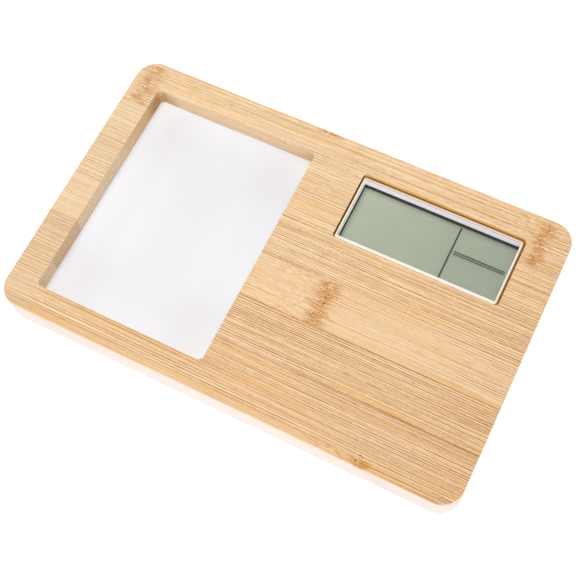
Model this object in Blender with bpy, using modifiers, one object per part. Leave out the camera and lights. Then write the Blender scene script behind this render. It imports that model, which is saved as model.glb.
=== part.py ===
"""Desk alarm clock: a bamboo board with a memo pad in a pocket and a clock module let into it from below.

Metres, +Z up. The board lies flat on four feet, with the origin on the table under the middle of the board.
The module is read from its middle: a roof with a sight frame, the display under it, a circuit board with
the switches, buzzer and coin cell under that, and a cover whose buttons and battery door face the table.
"""

import math

import bmesh
import bpy

# Clearances
FIT = 0.0003  # between pieces that seat in each other
LAYER = 0.0001  # between thin flat layers that lie on each other
OVERRUN = 0.001  # how far a cutter passes the face that it leaves through
SINK = 0.0003  # how deep a joined boss or rib runs into what carries it

# Board
BOARD_LENGTH = 0.200
BOARD_WIDTH = 0.1255
BOARD_THICKNESS = 0.015
BOARD_CORNER_RADIUS = 0.0092
BOARD_EDGE_RADIUS = 0.0006
BACK_MARGIN = 0.0122  # wood left behind both the pocket and the window

# Feet
FOOT_RADIUS = 0.0038
FOOT_HEIGHT = 0.0015
FOOT_INSET = 0.0062
FOOT_CHAMFER = 0.0004

# Memo pocket and pad
POCKET_LEFT_MARGIN = 0.0129
POCKET_FRONT_MARGIN = 0.0117
POCKET_TO_WINDOW = 0.02241
POCKET_FLOOR = 0.003
POCKET_CORNER_RADIUS = 0.003
PAD_CLEARANCE = 0.0004
CARD_THICKNESS = 0.0006
SHEETS_THICKNESS = 0.0021

# Sight frame: the opening over the display and the rim round it
OPENING_LENGTH = 0.0688
OPENING_WIDTH = 0.0281
OPENING_CORNER_RADIUS = 0.0005
RIM_SIDE = 0.00085
RIM_BACK = 0.0009
RIM_FRONT = 0.0013
RIM_CORNER_RADIUS = 0.0012
RIM_EDGE_RADIUS = 0.00015
RIM_DROP = 0.0015  # from the board's top down to the rim
FRAME_DEPTH = 0.0045  # from the rim down to the display

# Window cut through the wood
WINDOW_RIGHT_MARGIN = 0.01705
WINDOW_SIDE_GAP = 0.00062
WINDOW_END_GAP = 0.00075
WINDOW_CORNER_RADIUS = 0.0018
MODULE_SHIFT = 0.00018  # the module sits this much left of the window's middle

# Front housing
HOUSING_WALL = 0.0012
HOUSING_ROOF = 0.0012
HOUSING_CORNER_RADIUS = 0.0025
BOSS_RADIUS = 0.0024
BOSS_SPACE = 0.0048  # between the display's end and the housing wall
LOCATOR_THICKNESS = 0.0008
LOCATOR_LENGTH = 0.006
LOCATOR_HEIGHT = 0.002
LOCATOR_PITCH = 0.018
TAPE_THICKNESS = 0.0005
TAPE_INSET = 0.0008

# Display
DISPLAY_SIDE_OVERLAP = 0.0016
DISPLAY_END_OVERLAP = 0.00295
POLARIZER_THICKNESS = 0.0002
POLARIZER_INSET = 0.0008
GLASS_THICKNESS = 0.0007
REFLECTOR_THICKNESS = 0.0003
CONTACT_LEDGE = 0.0024  # the front glass overhangs the rear glass by this
ELASTOMER_LENGTH = 0.060
ELASTOMER_WIDTH = 0.0016

# Rear cover
COVER_THICKNESS = 0.0014
COVER_RECESS = 0.0003  # the cover lies this much inside the board's underside
COVER_BORDER = 0.0015  # the cover reaches this far past the housing
COVER_CORNER_RADIUS = 0.003
COVER_EDGE_RADIUS = 0.0002
RIB_THICKNESS = 0.001
RIB_CORNER_GAP = 0.0026

# Circuit board
CIRCUIT_STANDOFF = 0.0025
CIRCUIT_THICKNESS = 0.001
RESIN_RADIUS = 0.004
RESIN_HEIGHT = 0.0008
CRYSTAL_RADIUS = 0.001
CRYSTAL_LENGTH = 0.006
CAPACITOR_LENGTH = 0.0032
CAPACITOR_WIDTH = 0.0016
CAPACITOR_HEIGHT = 0.0015
PARTS_ROW_OFFSET = 0.0125  # crystal and capacitor, either side of the middle

# Screws
SCREW_RADIUS = 0.001
SCREW_HEAD_RADIUS = 0.0019
SCREW_HEAD_HEIGHT = 0.0009
SCREW_GAP = 0.00015
SCREW_HOLE_RADIUS = 0.0013
SCREW_END_GAP = 0.0005
SCREW_TIP_LENGTH = 0.0008

# Buttons and their switches
BUTTON_RADIUS = 0.0023
BUTTON_FLANGE_RADIUS = 0.0031
BUTTON_FLANGE_THICKNESS = 0.0004
BUTTON_PROUD = 0.0008
BUTTON_CROWN = 0.0003
BUTTON_TRAVEL = 0.0004
BUTTON_PITCH = 0.0105
BUTTON_ROW_PITCH = 0.0105
SWITCH_SIDE = 0.005
SWITCH_HEIGHT = 0.0009
PLUNGER_RADIUS = 0.0012

# Coin cell, its contacts and its door
CELL_RADIUS = 0.010
CELL_HEIGHT = 0.0032
CELL_CAP_RADIUS = 0.00885
CELL_CAP_HEIGHT = 0.0005
CELL_EDGE = 0.0003
DOOR_WALL_GAP = 0.0005  # from the cell to the wall round it
DOOR_WALL = 0.0012
DOOR_WALL_HEIGHT = 0.0009
DOOR_HEAD_BORDER = 0.0016
DOOR_HEAD_THICKNESS = 0.0006
DOOR_COUNT = 3
LUG_REACH = 0.0012
LUG_WIDTH = 0.005
LUG_THICKNESS = 0.0006
LUG_TURN_DEG = 45
COIN_SLOT_LENGTH = 0.013
COIN_SLOT_WIDTH = 0.0018
COIN_SLOT_DEPTH = 0.0006
WELL_GAP = 0.0005
WELL_WALL = 0.0008
WELL_HEIGHT = 0.0018
WELL_TO_BOSS = 0.001
WELL_TO_BUTTONS = 0.0012
CLIP_THICKNESS = 0.00025
CLIP_HEIGHT = 0.0011
CLIP_FOOT = 0.002
CLIP_ARC_DEG = 64
STRIP_WIDTH = 0.005
STRIP_THICKNESS = 0.00025
STRIP_LANDING = 0.003  # what rests on the circuit board past the cell's cut-out

# Buzzer
BUZZER_RADIUS = 0.0075
BUZZER_THICKNESS = 0.0002
CERAMIC_RADIUS = 0.0044
CERAMIC_THICKNESS = 0.0002
BUZZER_LEDGE = 0.001
BUZZER_SEAT_HEIGHT = 0.0003
BUZZER_SEAT_WALL = 0.0009
BUZZER_WALL_HEIGHT = 0.0009
BUTTONS_TO_BUZZER = 0.002
SOUND_HOLE_RADIUS = 0.0006
SOUND_RING_RADIUS = 0.0026
SOUND_RING_COUNT = 6
SPRING_RADIUS = 0.001
SPRING_WIRE_RADIUS = 0.00013
SPRING_TURNS = 3

# Facets round a circle or a corner
FINE = 48
ROUND = 24
SMALL = 16
SPRING_STEPS = 10
BOARD_CORNER_STEPS = 8
CORNER_STEPS = 4
EDGE_STEPS = 2
CRISP_EDGE_DEG = 28

# Levels, from the table up
UNDERSIDE = FOOT_HEIGHT
TOP = UNDERSIDE + BOARD_THICKNESS
POCKET_BOTTOM = UNDERSIDE + POCKET_FLOOR
RIM_TOP = TOP - RIM_DROP
ROOF_INNER = RIM_TOP - FRAME_DEPTH
ROOF_OUTER = ROOF_INNER + HOUSING_ROOF
SHOULDER = ROOF_OUTER + LAYER + TAPE_THICKNESS + LAYER
COVER_OUTER = UNDERSIDE + COVER_RECESS
COVER_INNER = COVER_OUTER + COVER_THICKNESS
HOUSING_BOTTOM = COVER_INNER + FIT
CIRCUIT_BOTTOM = COVER_INNER + CIRCUIT_STANDOFF
CIRCUIT_TOP = CIRCUIT_BOTTOM + CIRCUIT_THICKNESS
POLARIZER_BOTTOM = ROOF_INNER - FIT - POLARIZER_THICKNESS
FRONT_GLASS_BOTTOM = POLARIZER_BOTTOM - LAYER - GLASS_THICKNESS
REAR_GLASS_BOTTOM = FRONT_GLASS_BOTTOM - LAYER - GLASS_THICKNESS
REFLECTOR_BOTTOM = REAR_GLASS_BOTTOM - LAYER - REFLECTOR_THICKNESS
CELL_BOTTOM = COVER_INNER + FIT
LUG_BOTTOM = COVER_INNER + FIT
BUTTON_FLANGE_BOTTOM = COVER_INNER + FIT
SWITCH_BOTTOM = CIRCUIT_BOTTOM - LAYER - SWITCH_HEIGHT
PLUNGER_BOTTOM = BUTTON_FLANGE_BOTTOM + BUTTON_FLANGE_THICKNESS + BUTTON_TRAVEL + LAYER

# Plan sizes worked out from those above
COLLAR_LENGTH = OPENING_LENGTH + 2 * RIM_SIDE
COLLAR_WIDTH = OPENING_WIDTH + RIM_BACK + RIM_FRONT
OPENING_OFFSET = (RIM_FRONT - RIM_BACK) / 2
WINDOW_LENGTH = COLLAR_LENGTH + 2 * WINDOW_SIDE_GAP
WINDOW_WIDTH = COLLAR_WIDTH + 2 * WINDOW_END_GAP
POCKET_LENGTH = (
    BOARD_LENGTH - POCKET_LEFT_MARGIN - POCKET_TO_WINDOW - WINDOW_LENGTH - WINDOW_RIGHT_MARGIN
)
POCKET_WIDTH = BOARD_WIDTH - POCKET_FRONT_MARGIN - BACK_MARGIN
DISPLAY_LENGTH = OPENING_LENGTH + 2 * DISPLAY_SIDE_OVERLAP
DISPLAY_WIDTH = OPENING_WIDTH + 2 * DISPLAY_END_OVERLAP
CAVITY_LENGTH = DISPLAY_LENGTH + 2 * BOSS_SPACE
CAVITY_WIDTH = DISPLAY_WIDTH + 2 * FIT
CAVITY_CORNER_RADIUS = HOUSING_CORNER_RADIUS - HOUSING_WALL
HOUSING_LENGTH = CAVITY_LENGTH + 2 * HOUSING_WALL
HOUSING_WIDTH = CAVITY_WIDTH + 2 * HOUSING_WALL
COVER_LENGTH = HOUSING_LENGTH + 2 * COVER_BORDER
COVER_WIDTH = HOUSING_WIDTH + 2 * COVER_BORDER
CIRCUIT_LENGTH = CAVITY_LENGTH - 2 * FIT
CIRCUIT_WIDTH = CAVITY_WIDTH - 2 * FIT
CIRCUIT_CORNER_RADIUS = CAVITY_CORNER_RADIUS - FIT

# Places of the pocket, the window and the module, from the middle of the board
POCKET_X = (POCKET_LENGTH - BOARD_LENGTH) / 2 + POCKET_LEFT_MARGIN
POCKET_Y = (BOARD_WIDTH - POCKET_WIDTH) / 2 - BACK_MARGIN
WINDOW_X = (BOARD_LENGTH - WINDOW_LENGTH) / 2 - WINDOW_RIGHT_MARGIN
WINDOW_Y = (BOARD_WIDTH - WINDOW_WIDTH) / 2 - BACK_MARGIN
MODULE_X = WINDOW_X - MODULE_SHIFT
MODULE_Y = WINDOW_Y

# Places inside the module, from its middle
BOSS_X = CAVITY_LENGTH / 2 - BOSS_RADIUS + SINK
BOSS_Y = CAVITY_WIDTH / 2 - BOSS_RADIUS + SINK
DOOR_WALL_INNER = CELL_RADIUS + DOOR_WALL_GAP
DOOR_WALL_OUTER = DOOR_WALL_INNER + DOOR_WALL
DOOR_OPENING = DOOR_WALL_OUTER + FIT
DOOR_HEAD_RADIUS = DOOR_WALL_OUTER + DOOR_HEAD_BORDER
LUG_RADIUS = DOOR_WALL_OUTER + LUG_REACH
WELL_INNER = LUG_RADIUS + WELL_GAP
WELL_OUTER = WELL_INNER + WELL_WALL
CELL_X = BOSS_X - BOSS_RADIUS - WELL_TO_BOSS - WELL_OUTER
BUTTON_X = CELL_X - WELL_OUTER - WELL_TO_BUTTONS - BUTTON_FLANGE_RADIUS
BUTTON_COLUMNS = (BUTTON_X - BUTTON_PITCH, BUTTON_X)
BUTTON_ROWS = (-BUTTON_ROW_PITCH / 2, BUTTON_ROW_PITCH / 2)
BUZZER_SEAT_RADIUS = BUZZER_RADIUS + FIT + BUZZER_SEAT_WALL
BUZZER_X = BUTTON_COLUMNS[0] - BUTTON_FLANGE_RADIUS - BUTTONS_TO_BUZZER - BUZZER_SEAT_RADIUS
BUZZER_BOTTOM = COVER_INNER + BUZZER_SEAT_HEIGHT + LAYER
CERAMIC_BOTTOM = BUZZER_BOTTOM + BUZZER_THICKNESS + LAYER
PARTS_X = (BUTTON_COLUMNS[0] + BUTTON_COLUMNS[1]) / 2

BUTTON_NAMES = ("mode", "set", "up", "down")
FULL_TURN = 2 * math.pi

# Finishes: colour, roughness, metallic
FINISHES = {
    "bamboo": ((0.79, 0.55, 0.32), 0.55, 0.0),
    "paper": ((0.92, 0.91, 0.92), 0.85, 0.0),
    "grey_card": ((0.52, 0.50, 0.47), 0.90, 0.0),
    "white_abs": ((0.86, 0.85, 0.90), 0.40, 0.0),
    "display_film": ((0.45, 0.50, 0.40), 0.30, 0.0),
    "glass": ((0.80, 0.88, 0.84), 0.05, 0.0),
    "reflector_film": ((0.40, 0.45, 0.36), 0.50, 0.0),
    "black_rubber": ((0.03, 0.03, 0.03), 0.80, 0.0),
    "circuit_green": ((0.02, 0.17, 0.07), 0.45, 0.0),
    "black_resin": ((0.02, 0.02, 0.02), 0.35, 0.0),
    "steel": ((0.62, 0.61, 0.58), 0.30, 1.0),
    "brass": ((0.78, 0.57, 0.25), 0.30, 1.0),
    "ceramic": ((0.85, 0.83, 0.76), 0.50, 0.0),
    "foam_tape": ((0.75, 0.73, 0.68), 0.90, 0.0),
}


def clear_scene():
    """Empty the scene that the script is started in."""
    for obj in list(bpy.data.objects):
        bpy.data.objects.remove(obj, do_unlink=True)


def make_collection(name):
    collection = bpy.data.collections.new(name)
    bpy.context.scene.collection.children.link(collection)
    return collection


def make_materials():
    made = {}
    for name, (colour, roughness, metallic) in FINISHES.items():
        finish = bpy.data.materials.new(name)
        finish.use_nodes = True
        shader = finish.node_tree.nodes["Principled BSDF"]
        shader.inputs["Base Color"].default_value = (*colour, 1)
        shader.inputs["Roughness"].default_value = roughness
        shader.inputs["Metallic"].default_value = metallic
        made[name] = finish
    return made


clear_scene()
PARTS = make_collection("memo_board_alarm_clock")
CUTTERS = make_collection("cutters")
MATERIALS = make_materials()


def place(obj, collection, parent, location, turn):
    collection.objects.link(obj)
    obj.parent = parent
    obj.location = location
    obj.rotation_euler = (0, 0, turn)
    return obj


def anchor(name, location, parent=None):
    """An empty that carries the pieces placed from it, such as those on one joint's axis."""
    return place(bpy.data.objects.new(name, None), PARTS, parent, location, 0)


def part(name, mesh, finish, parent, location=(0, 0, 0), turn=0):
    """A sub-part with its own material."""
    obj = place(bpy.data.objects.new(name, mesh), PARTS, parent, location, turn)
    mesh.materials.append(MATERIALS[finish])
    return obj


def helper(name, mesh, parent, location=(0, 0, 0), turn=0):
    """A solid that only cuts or joins: it isn't rendered."""
    obj = place(bpy.data.objects.new(name, mesh), CUTTERS, parent, location, turn)
    obj.hide_render = True
    obj.display_type = "WIRE"
    return obj


def combine(target, tool, operation):
    modifier = target.modifiers.new(f"{operation.lower()} {tool.name}", "BOOLEAN")
    modifier.operation = operation
    modifier.solver = "EXACT"
    modifier.object = tool


def cut(target, *tools):
    for tool in tools:
        combine(target, tool, "DIFFERENCE")


def join(target, *tools):
    for tool in tools:
        combine(target, tool, "UNION")


def mesh_of(name, shape):
    mesh = bpy.data.meshes.new(name)
    shape.to_mesh(mesh)
    shape.free()
    mesh.shade_smooth()
    return mesh


def add_block(shape, length, width, height, middle=(0, 0), base=0):
    """A box standing on base, with its middle at the given place in plan."""
    corners = bmesh.ops.create_cube(shape, size=1)["verts"]
    bmesh.ops.scale(shape, vec=(length, width, height), verts=corners)
    bmesh.ops.translate(shape, vec=(*middle, base + height / 2), verts=corners)
    return corners


def block(name, length, width, height, corner=0, edge=0, corner_steps=CORNER_STEPS):
    """A box standing on z = 0 with round upright corners and, if edge is given, round rims."""
    shape = bmesh.new()
    add_block(shape, length, width, height)
    if corner:
        upright = [e for e in shape.edges if abs(e.verts[0].co.z - e.verts[1].co.z) > height / 2]
        bmesh.ops.bevel(
            shape, geom=upright, offset=corner, segments=corner_steps, profile=0.5, affect="EDGES"
        )
    if edge:
        rims = [e for e in shape.edges if abs(e.verts[0].co.z - e.verts[1].co.z) < height / 2]
        bmesh.ops.bevel(
            shape, geom=rims, offset=edge, segments=EDGE_STEPS, profile=0.5, affect="EDGES"
        )
    return mesh_of(name, shape)


def blocks(name, length, width, height, places):
    """Equal boxes standing on z = 0 at the places given."""
    shape = bmesh.new()
    for spot in places:
        add_block(shape, length, width, height, spot)
    return mesh_of(name, shape)


def add_cone(shape, low_radius, high_radius, height, middle, base, steps):
    made = bmesh.ops.create_cone(
        shape, cap_ends=True, segments=steps, radius1=low_radius, radius2=high_radius, depth=height
    )
    bmesh.ops.translate(shape, vec=(*middle, base + height / 2), verts=made["verts"])


def cylinders(name, radius, height, places=((0, 0),), steps=SMALL):
    """Equal cylinders standing on z = 0 at the places given."""
    shape = bmesh.new()
    for spot in places:
        add_cone(shape, radius, radius, height, spot, 0, steps)
    return mesh_of(name, shape)


def cones(name, low_radius, high_radius, height, places, steps=SMALL):
    shape = bmesh.new()
    for spot in places:
        add_cone(shape, low_radius, high_radius, height, spot, 0, steps)
    return mesh_of(name, shape)


def outline(name, points):
    """A profile in the XZ plane, from (radius, height) pairs that run down the outer side."""
    shape = bmesh.new()
    corners = [shape.verts.new((radius, 0, height)) for radius, height in points]
    for first, second in zip(corners, corners[1:]):
        shape.edges.new((first, second))
    return mesh_of(name, shape)


def turn_profile(obj, steps, angle=FULL_TURN):
    screw = obj.modifiers.new("turn", "SCREW")
    screw.angle = angle
    screw.steps = steps
    screw.render_steps = steps
    screw.use_merge_vertices = angle == FULL_TURN
    screw.merge_threshold = 0.00001
    screw.use_smooth_shade = True


def corners_of(half_length, half_width):
    return [(x, y) for x in (-half_length, half_length) for y in (-half_width, half_width)]


def around(radius, count, start=0):
    """Places evenly round a circle."""
    angles = [start + FULL_TURN * k / count for k in range(count)]
    return [(radius * math.cos(a), radius * math.sin(a)) for a in angles]


def board():
    """The bamboo board, with the memo pocket from above and the clock's window and rebates."""
    mesh = block(
        "bamboo_board",
        BOARD_LENGTH,
        BOARD_WIDTH,
        BOARD_THICKNESS,
        BOARD_CORNER_RADIUS,
        BOARD_EDGE_RADIUS,
        BOARD_CORNER_STEPS,
    )
    wood = part("bamboo_board", mesh, "bamboo", None, (0, 0, UNDERSIDE))
    pocket = helper(
        "pocket_cutter",
        block(
            "pocket_cutter",
            POCKET_LENGTH,
            POCKET_WIDTH,
            TOP - POCKET_BOTTOM + OVERRUN,
            POCKET_CORNER_RADIUS,
        ),
        None,
        (POCKET_X, POCKET_Y, POCKET_BOTTOM),
    )
    window = helper(
        "window_cutter",
        block(
            "window_cutter",
            WINDOW_LENGTH,
            WINDOW_WIDTH,
            TOP - SHOULDER + 2 * OVERRUN,
            WINDOW_CORNER_RADIUS,
        ),
        None,
        (WINDOW_X, WINDOW_Y, SHOULDER - OVERRUN),
    )
    housing_rebate = helper(
        "housing_rebate_cutter",
        block(
            "housing_rebate_cutter",
            HOUSING_LENGTH + 2 * FIT,
            HOUSING_WIDTH + 2 * FIT,
            SHOULDER - UNDERSIDE + OVERRUN,
            HOUSING_CORNER_RADIUS + FIT,
        ),
        None,
        (MODULE_X, MODULE_Y, UNDERSIDE - OVERRUN),
    )
    cover_rebate = helper(
        "cover_rebate_cutter",
        block(
            "cover_rebate_cutter",
            COVER_LENGTH + 2 * FIT,
            COVER_WIDTH + 2 * FIT,
            COVER_INNER + FIT - UNDERSIDE + OVERRUN,
            COVER_CORNER_RADIUS + FIT,
        ),
        None,
        (MODULE_X, MODULE_Y, UNDERSIDE - OVERRUN),
    )
    cut(wood, pocket, housing_rebate, cover_rebate, window)


def feet():
    """Four stick-on rubber feet, each a short turned pad with a chamfered tread."""
    names = ("front_left", "back_left", "front_right", "back_right")
    spots = corners_of(BOARD_LENGTH / 2 - FOOT_INSET, BOARD_WIDTH / 2 - FOOT_INSET)
    height = FOOT_HEIGHT - LAYER
    profile = (
        (0, height),
        (FOOT_RADIUS, height),
        (FOOT_RADIUS, FOOT_CHAMFER),
        (FOOT_RADIUS - FOOT_CHAMFER, 0),
        (0, 0),
    )
    for name, spot in zip(names, spots):
        foot = part(f"rubber_foot_{name}", outline("rubber_foot", profile), "black_rubber", None, (*spot, 0))
        turn_profile(foot, ROUND)


def memo_pad():
    """The block of sheets on its card, both on the empty that lifts out of the pocket."""
    lift = anchor("memo_pad_lift", (POCKET_X, POCKET_Y, POCKET_BOTTOM + FIT))
    length = POCKET_LENGTH - 2 * PAD_CLEARANCE
    width = POCKET_WIDTH - 2 * PAD_CLEARANCE
    radius = POCKET_CORNER_RADIUS - PAD_CLEARANCE
    card = block("memo_backing_card", length, width, CARD_THICKNESS, radius)
    part("memo_backing_card", card, "grey_card", lift)
    sheets = block("memo_sheets", length, width, SHEETS_THICKNESS, radius)
    part("memo_sheets", sheets, "paper", lift, (0, 0, CARD_THICKNESS + LAYER))


def front_housing(module):
    """The white moulding: sight frame, roof, skirt, screw bosses and the ribs that locate the display."""
    mesh = block(
        "front_housing", HOUSING_LENGTH, HOUSING_WIDTH, ROOF_OUTER - HOUSING_BOTTOM, HOUSING_CORNER_RADIUS
    )
    housing = part("front_housing", mesh, "white_abs", module, (0, 0, HOUSING_BOTTOM))
    collar = helper(
        "collar_tool",
        block(
            "collar_tool",
            COLLAR_LENGTH,
            COLLAR_WIDTH,
            RIM_TOP - ROOF_OUTER + SINK,
            RIM_CORNER_RADIUS,
            RIM_EDGE_RADIUS,
        ),
        module,
        (0, 0, ROOF_OUTER - SINK),
    )
    cavity = helper(
        "cavity_cutter",
        block(
            "cavity_cutter",
            CAVITY_LENGTH,
            CAVITY_WIDTH,
            ROOF_INNER - HOUSING_BOTTOM + OVERRUN,
            CAVITY_CORNER_RADIUS,
        ),
        module,
        (0, 0, HOUSING_BOTTOM - OVERRUN),
    )
    opening = helper(
        "opening_cutter",
        block(
            "opening_cutter",
            OPENING_LENGTH,
            OPENING_WIDTH,
            RIM_TOP - ROOF_INNER + 2 * OVERRUN,
            OPENING_CORNER_RADIUS,
        ),
        module,
        (0, OPENING_OFFSET, ROOF_INNER - OVERRUN),
    )
    boss_bottom = CIRCUIT_TOP + LAYER
    boss_places = corners_of(BOSS_X, BOSS_Y)
    bosses = helper(
        "boss_tool",
        cylinders("boss_tool", BOSS_RADIUS, ROOF_INNER + SINK - boss_bottom, boss_places),
        module,
        (0, 0, boss_bottom),
    )
    bores = helper(
        "boss_bore_cutter",
        cylinders(
            "boss_bore_cutter", SCREW_RADIUS + SCREW_GAP, ROOF_INNER - boss_bottom + OVERRUN, boss_places
        ),
        module,
        (0, 0, boss_bottom - OVERRUN),
    )
    locator_x = DISPLAY_LENGTH / 2 + FIT + LOCATOR_THICKNESS / 2
    locators = helper(
        "locator_tool",
        blocks(
            "locator_tool",
            LOCATOR_THICKNESS,
            LOCATOR_LENGTH,
            LOCATOR_HEIGHT + SINK,
            corners_of(locator_x, LOCATOR_PITCH / 2),
        ),
        module,
        (0, 0, ROOF_INNER - LOCATOR_HEIGHT),
    )
    join(housing, collar)
    cut(housing, cavity, opening)
    join(housing, bosses, locators)
    cut(housing, bores)


def mounting_tape(module):
    """The frame of double-sided tape that holds the housing's roof to the wood."""
    length = HOUSING_LENGTH - 2 * TAPE_INSET
    width = HOUSING_WIDTH - 2 * TAPE_INSET
    base = ROOF_OUTER + LAYER
    tape = part(
        "mounting_tape",
        block("mounting_tape", length, width, TAPE_THICKNESS),
        "foam_tape",
        module,
        (0, 0, base),
    )
    hole = helper(
        "tape_cutter",
        block(
            "tape_cutter",
            WINDOW_LENGTH + 2 * MODULE_SHIFT + 2 * FIT,
            WINDOW_WIDTH + 2 * FIT,
            TAPE_THICKNESS + 2 * OVERRUN,
        ),
        module,
        (0, 0, base - OVERRUN),
    )
    cut(tape, hole)


def display(module):
    """The liquid crystal cell as it is stacked: polarizer, two glasses, reflector, and its contact strip."""
    rear_width = DISPLAY_WIDTH - CONTACT_LEDGE
    rear_y = CONTACT_LEDGE / 2
    film_length = DISPLAY_LENGTH - 2 * POLARIZER_INSET
    layers = (
        (
            "lcd_front_polarizer",
            "display_film",
            film_length,
            DISPLAY_WIDTH - 2 * POLARIZER_INSET,
            POLARIZER_THICKNESS,
            0,
            POLARIZER_BOTTOM,
        ),
        (
            "lcd_front_glass",
            "glass",
            DISPLAY_LENGTH,
            DISPLAY_WIDTH,
            GLASS_THICKNESS,
            0,
            FRONT_GLASS_BOTTOM,
        ),
        (
            "lcd_rear_glass",
            "glass",
            DISPLAY_LENGTH,
            rear_width,
            GLASS_THICKNESS,
            rear_y,
            REAR_GLASS_BOTTOM,
        ),
        (
            "lcd_reflector",
            "reflector_film",
            film_length,
            rear_width,
            REFLECTOR_THICKNESS,
            rear_y,
            REFLECTOR_BOTTOM,
        ),
    )
    for name, finish, length, width, thickness, y, base in layers:
        part(name, block(name, length, width, thickness), finish, module, (0, y, base))
    strip_y = (CONTACT_LEDGE - DISPLAY_WIDTH) / 2
    strip_base = CIRCUIT_TOP + LAYER
    strip = block(
        "elastomer_strip", ELASTOMER_LENGTH, ELASTOMER_WIDTH, FRONT_GLASS_BOTTOM - LAYER - strip_base
    )
    part("elastomer_strip", strip, "black_rubber", module, (0, strip_y, strip_base))


def circuit(module):
    """The circuit board, cut out round the coin cell, and the parts soldered to it."""
    mesh = block(
        "circuit_board", CIRCUIT_LENGTH, CIRCUIT_WIDTH, CIRCUIT_THICKNESS, CIRCUIT_CORNER_RADIUS
    )
    base = part("circuit_board", mesh, "circuit_green", module, (0, 0, CIRCUIT_BOTTOM))
    through = CIRCUIT_THICKNESS + 2 * OVERRUN
    holes = helper(
        "circuit_hole_cutter",
        cylinders("circuit_hole_cutter", SCREW_HOLE_RADIUS, through, corners_of(BOSS_X, BOSS_Y)),
        module,
        (0, 0, CIRCUIT_BOTTOM - OVERRUN),
    )
    cell_hole = helper(
        "circuit_cell_cutter",
        cylinders("circuit_cell_cutter", CELL_RADIUS + FIT, through, steps=FINE),
        module,
        (CELL_X, 0, CIRCUIT_BOTTOM - OVERRUN),
    )
    cut(base, holes, cell_hole)
    steps = SMALL // 4
    dome = [
        (RESIN_RADIUS * math.sin(angle), RESIN_HEIGHT * math.cos(angle))
        for angle in (FULL_TURN / 4 * k / steps for k in range(steps + 1))
    ]
    resin = part(
        "chip_resin_cap",
        outline("chip_resin_cap", [*dome, (0, 0)]),
        "black_resin",
        module,
        (BUTTON_COLUMNS[0], 0, CIRCUIT_TOP + LAYER),
    )
    turn_profile(resin, ROUND)
    crystal = part(
        "quartz_crystal",
        cylinders("quartz_crystal", CRYSTAL_RADIUS, CRYSTAL_LENGTH),
        "steel",
        module,
        (PARTS_X - CRYSTAL_LENGTH / 2, PARTS_ROW_OFFSET, CIRCUIT_BOTTOM - LAYER - CRYSTAL_RADIUS),
    )
    crystal.rotation_euler = (0, FULL_TURN / 4, 0)
    part(
        "smoothing_capacitor",
        block("smoothing_capacitor", CAPACITOR_LENGTH, CAPACITOR_WIDTH, CAPACITOR_HEIGHT),
        "ceramic",
        module,
        (PARTS_X, -PARTS_ROW_OFFSET, CIRCUIT_BOTTOM - LAYER - CAPACITOR_HEIGHT),
    )


def buttons(module):
    """Each button drops through the cover from inside and presses the plunger of its switch."""
    reach = BUTTON_FLANGE_BOTTOM - COVER_OUTER + BUTTON_PROUD
    crown = BUTTON_CROWN
    profile = (
        (0, BUTTON_FLANGE_THICKNESS),
        (BUTTON_FLANGE_RADIUS, BUTTON_FLANGE_THICKNESS),
        (BUTTON_FLANGE_RADIUS, 0),
        (BUTTON_RADIUS, 0),
        (BUTTON_RADIUS, crown - reach),
        (BUTTON_RADIUS - crown, -reach),
        (0, -reach),
    )
    places = [(x, y) for y in reversed(BUTTON_ROWS) for x in BUTTON_COLUMNS]
    for name, spot in zip(BUTTON_NAMES, places):
        press = anchor(f"{name}_button_press", (*spot, BUTTON_FLANGE_BOTTOM), module)
        cap = part(f"button_{name}", outline("button", profile), "white_abs", press)
        turn_profile(cap, ROUND)
        body = block(f"switch_{name}", SWITCH_SIDE, SWITCH_SIDE, SWITCH_HEIGHT)
        switch = part(f"switch_{name}", body, "steel", module, (*spot, SWITCH_BOTTOM))
        plunger = helper(
            f"plunger_tool_{name}",
            cylinders("plunger_tool", PLUNGER_RADIUS, SWITCH_BOTTOM - PLUNGER_BOTTOM + SINK),
            module,
            (*spot, PLUNGER_BOTTOM),
        )
        join(switch, plunger)


def buzzer(module):
    """A brass disc with its ceramic layer, on a seat in the cover, fed by two springs."""
    disc = cylinders("buzzer_disc", BUZZER_RADIUS, BUZZER_THICKNESS, steps=FINE)
    part("buzzer_disc", disc, "brass", module, (BUZZER_X, 0, BUZZER_BOTTOM))
    ceramic = cylinders("buzzer_ceramic", CERAMIC_RADIUS, CERAMIC_THICKNESS, steps=FINE)
    part("buzzer_ceramic", ceramic, "ceramic", module, (BUZZER_X, 0, CERAMIC_BOTTOM))
    rim_x = (CERAMIC_RADIUS + BUZZER_RADIUS) / 2
    on_ceramic = CERAMIC_BOTTOM + CERAMIC_THICKNESS
    on_disc = BUZZER_BOTTOM + BUZZER_THICKNESS
    coil_spring("buzzer_spring_ceramic", module, BUZZER_X, on_ceramic)
    coil_spring("buzzer_spring_disc", module, BUZZER_X + rim_x, on_disc)


def coil_spring(name, module, x, seat):
    """A wire helix from its seat up to the circuit board."""
    low = seat + LAYER + SPRING_WIRE_RADIUS
    high = CIRCUIT_BOTTOM - LAYER - SPRING_WIRE_RADIUS
    count = SPRING_TURNS * SPRING_STEPS
    wire = bpy.data.curves.new(name, "CURVE")
    wire.dimensions = "3D"
    wire.bevel_depth = SPRING_WIRE_RADIUS
    wire.bevel_resolution = 1
    wire.use_fill_caps = True
    path = wire.splines.new("POLY")
    path.points.add(count)
    for k, point in enumerate(path.points):
        angle = FULL_TURN * k / SPRING_STEPS
        height = (high - low) * k / count
        point.co = (SPRING_RADIUS * math.cos(angle), SPRING_RADIUS * math.sin(angle), height, 1)
    wire.materials.append(MATERIALS["steel"])
    place(bpy.data.objects.new(name, wire), PARTS, module, (x, 0, low), 0)


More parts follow.
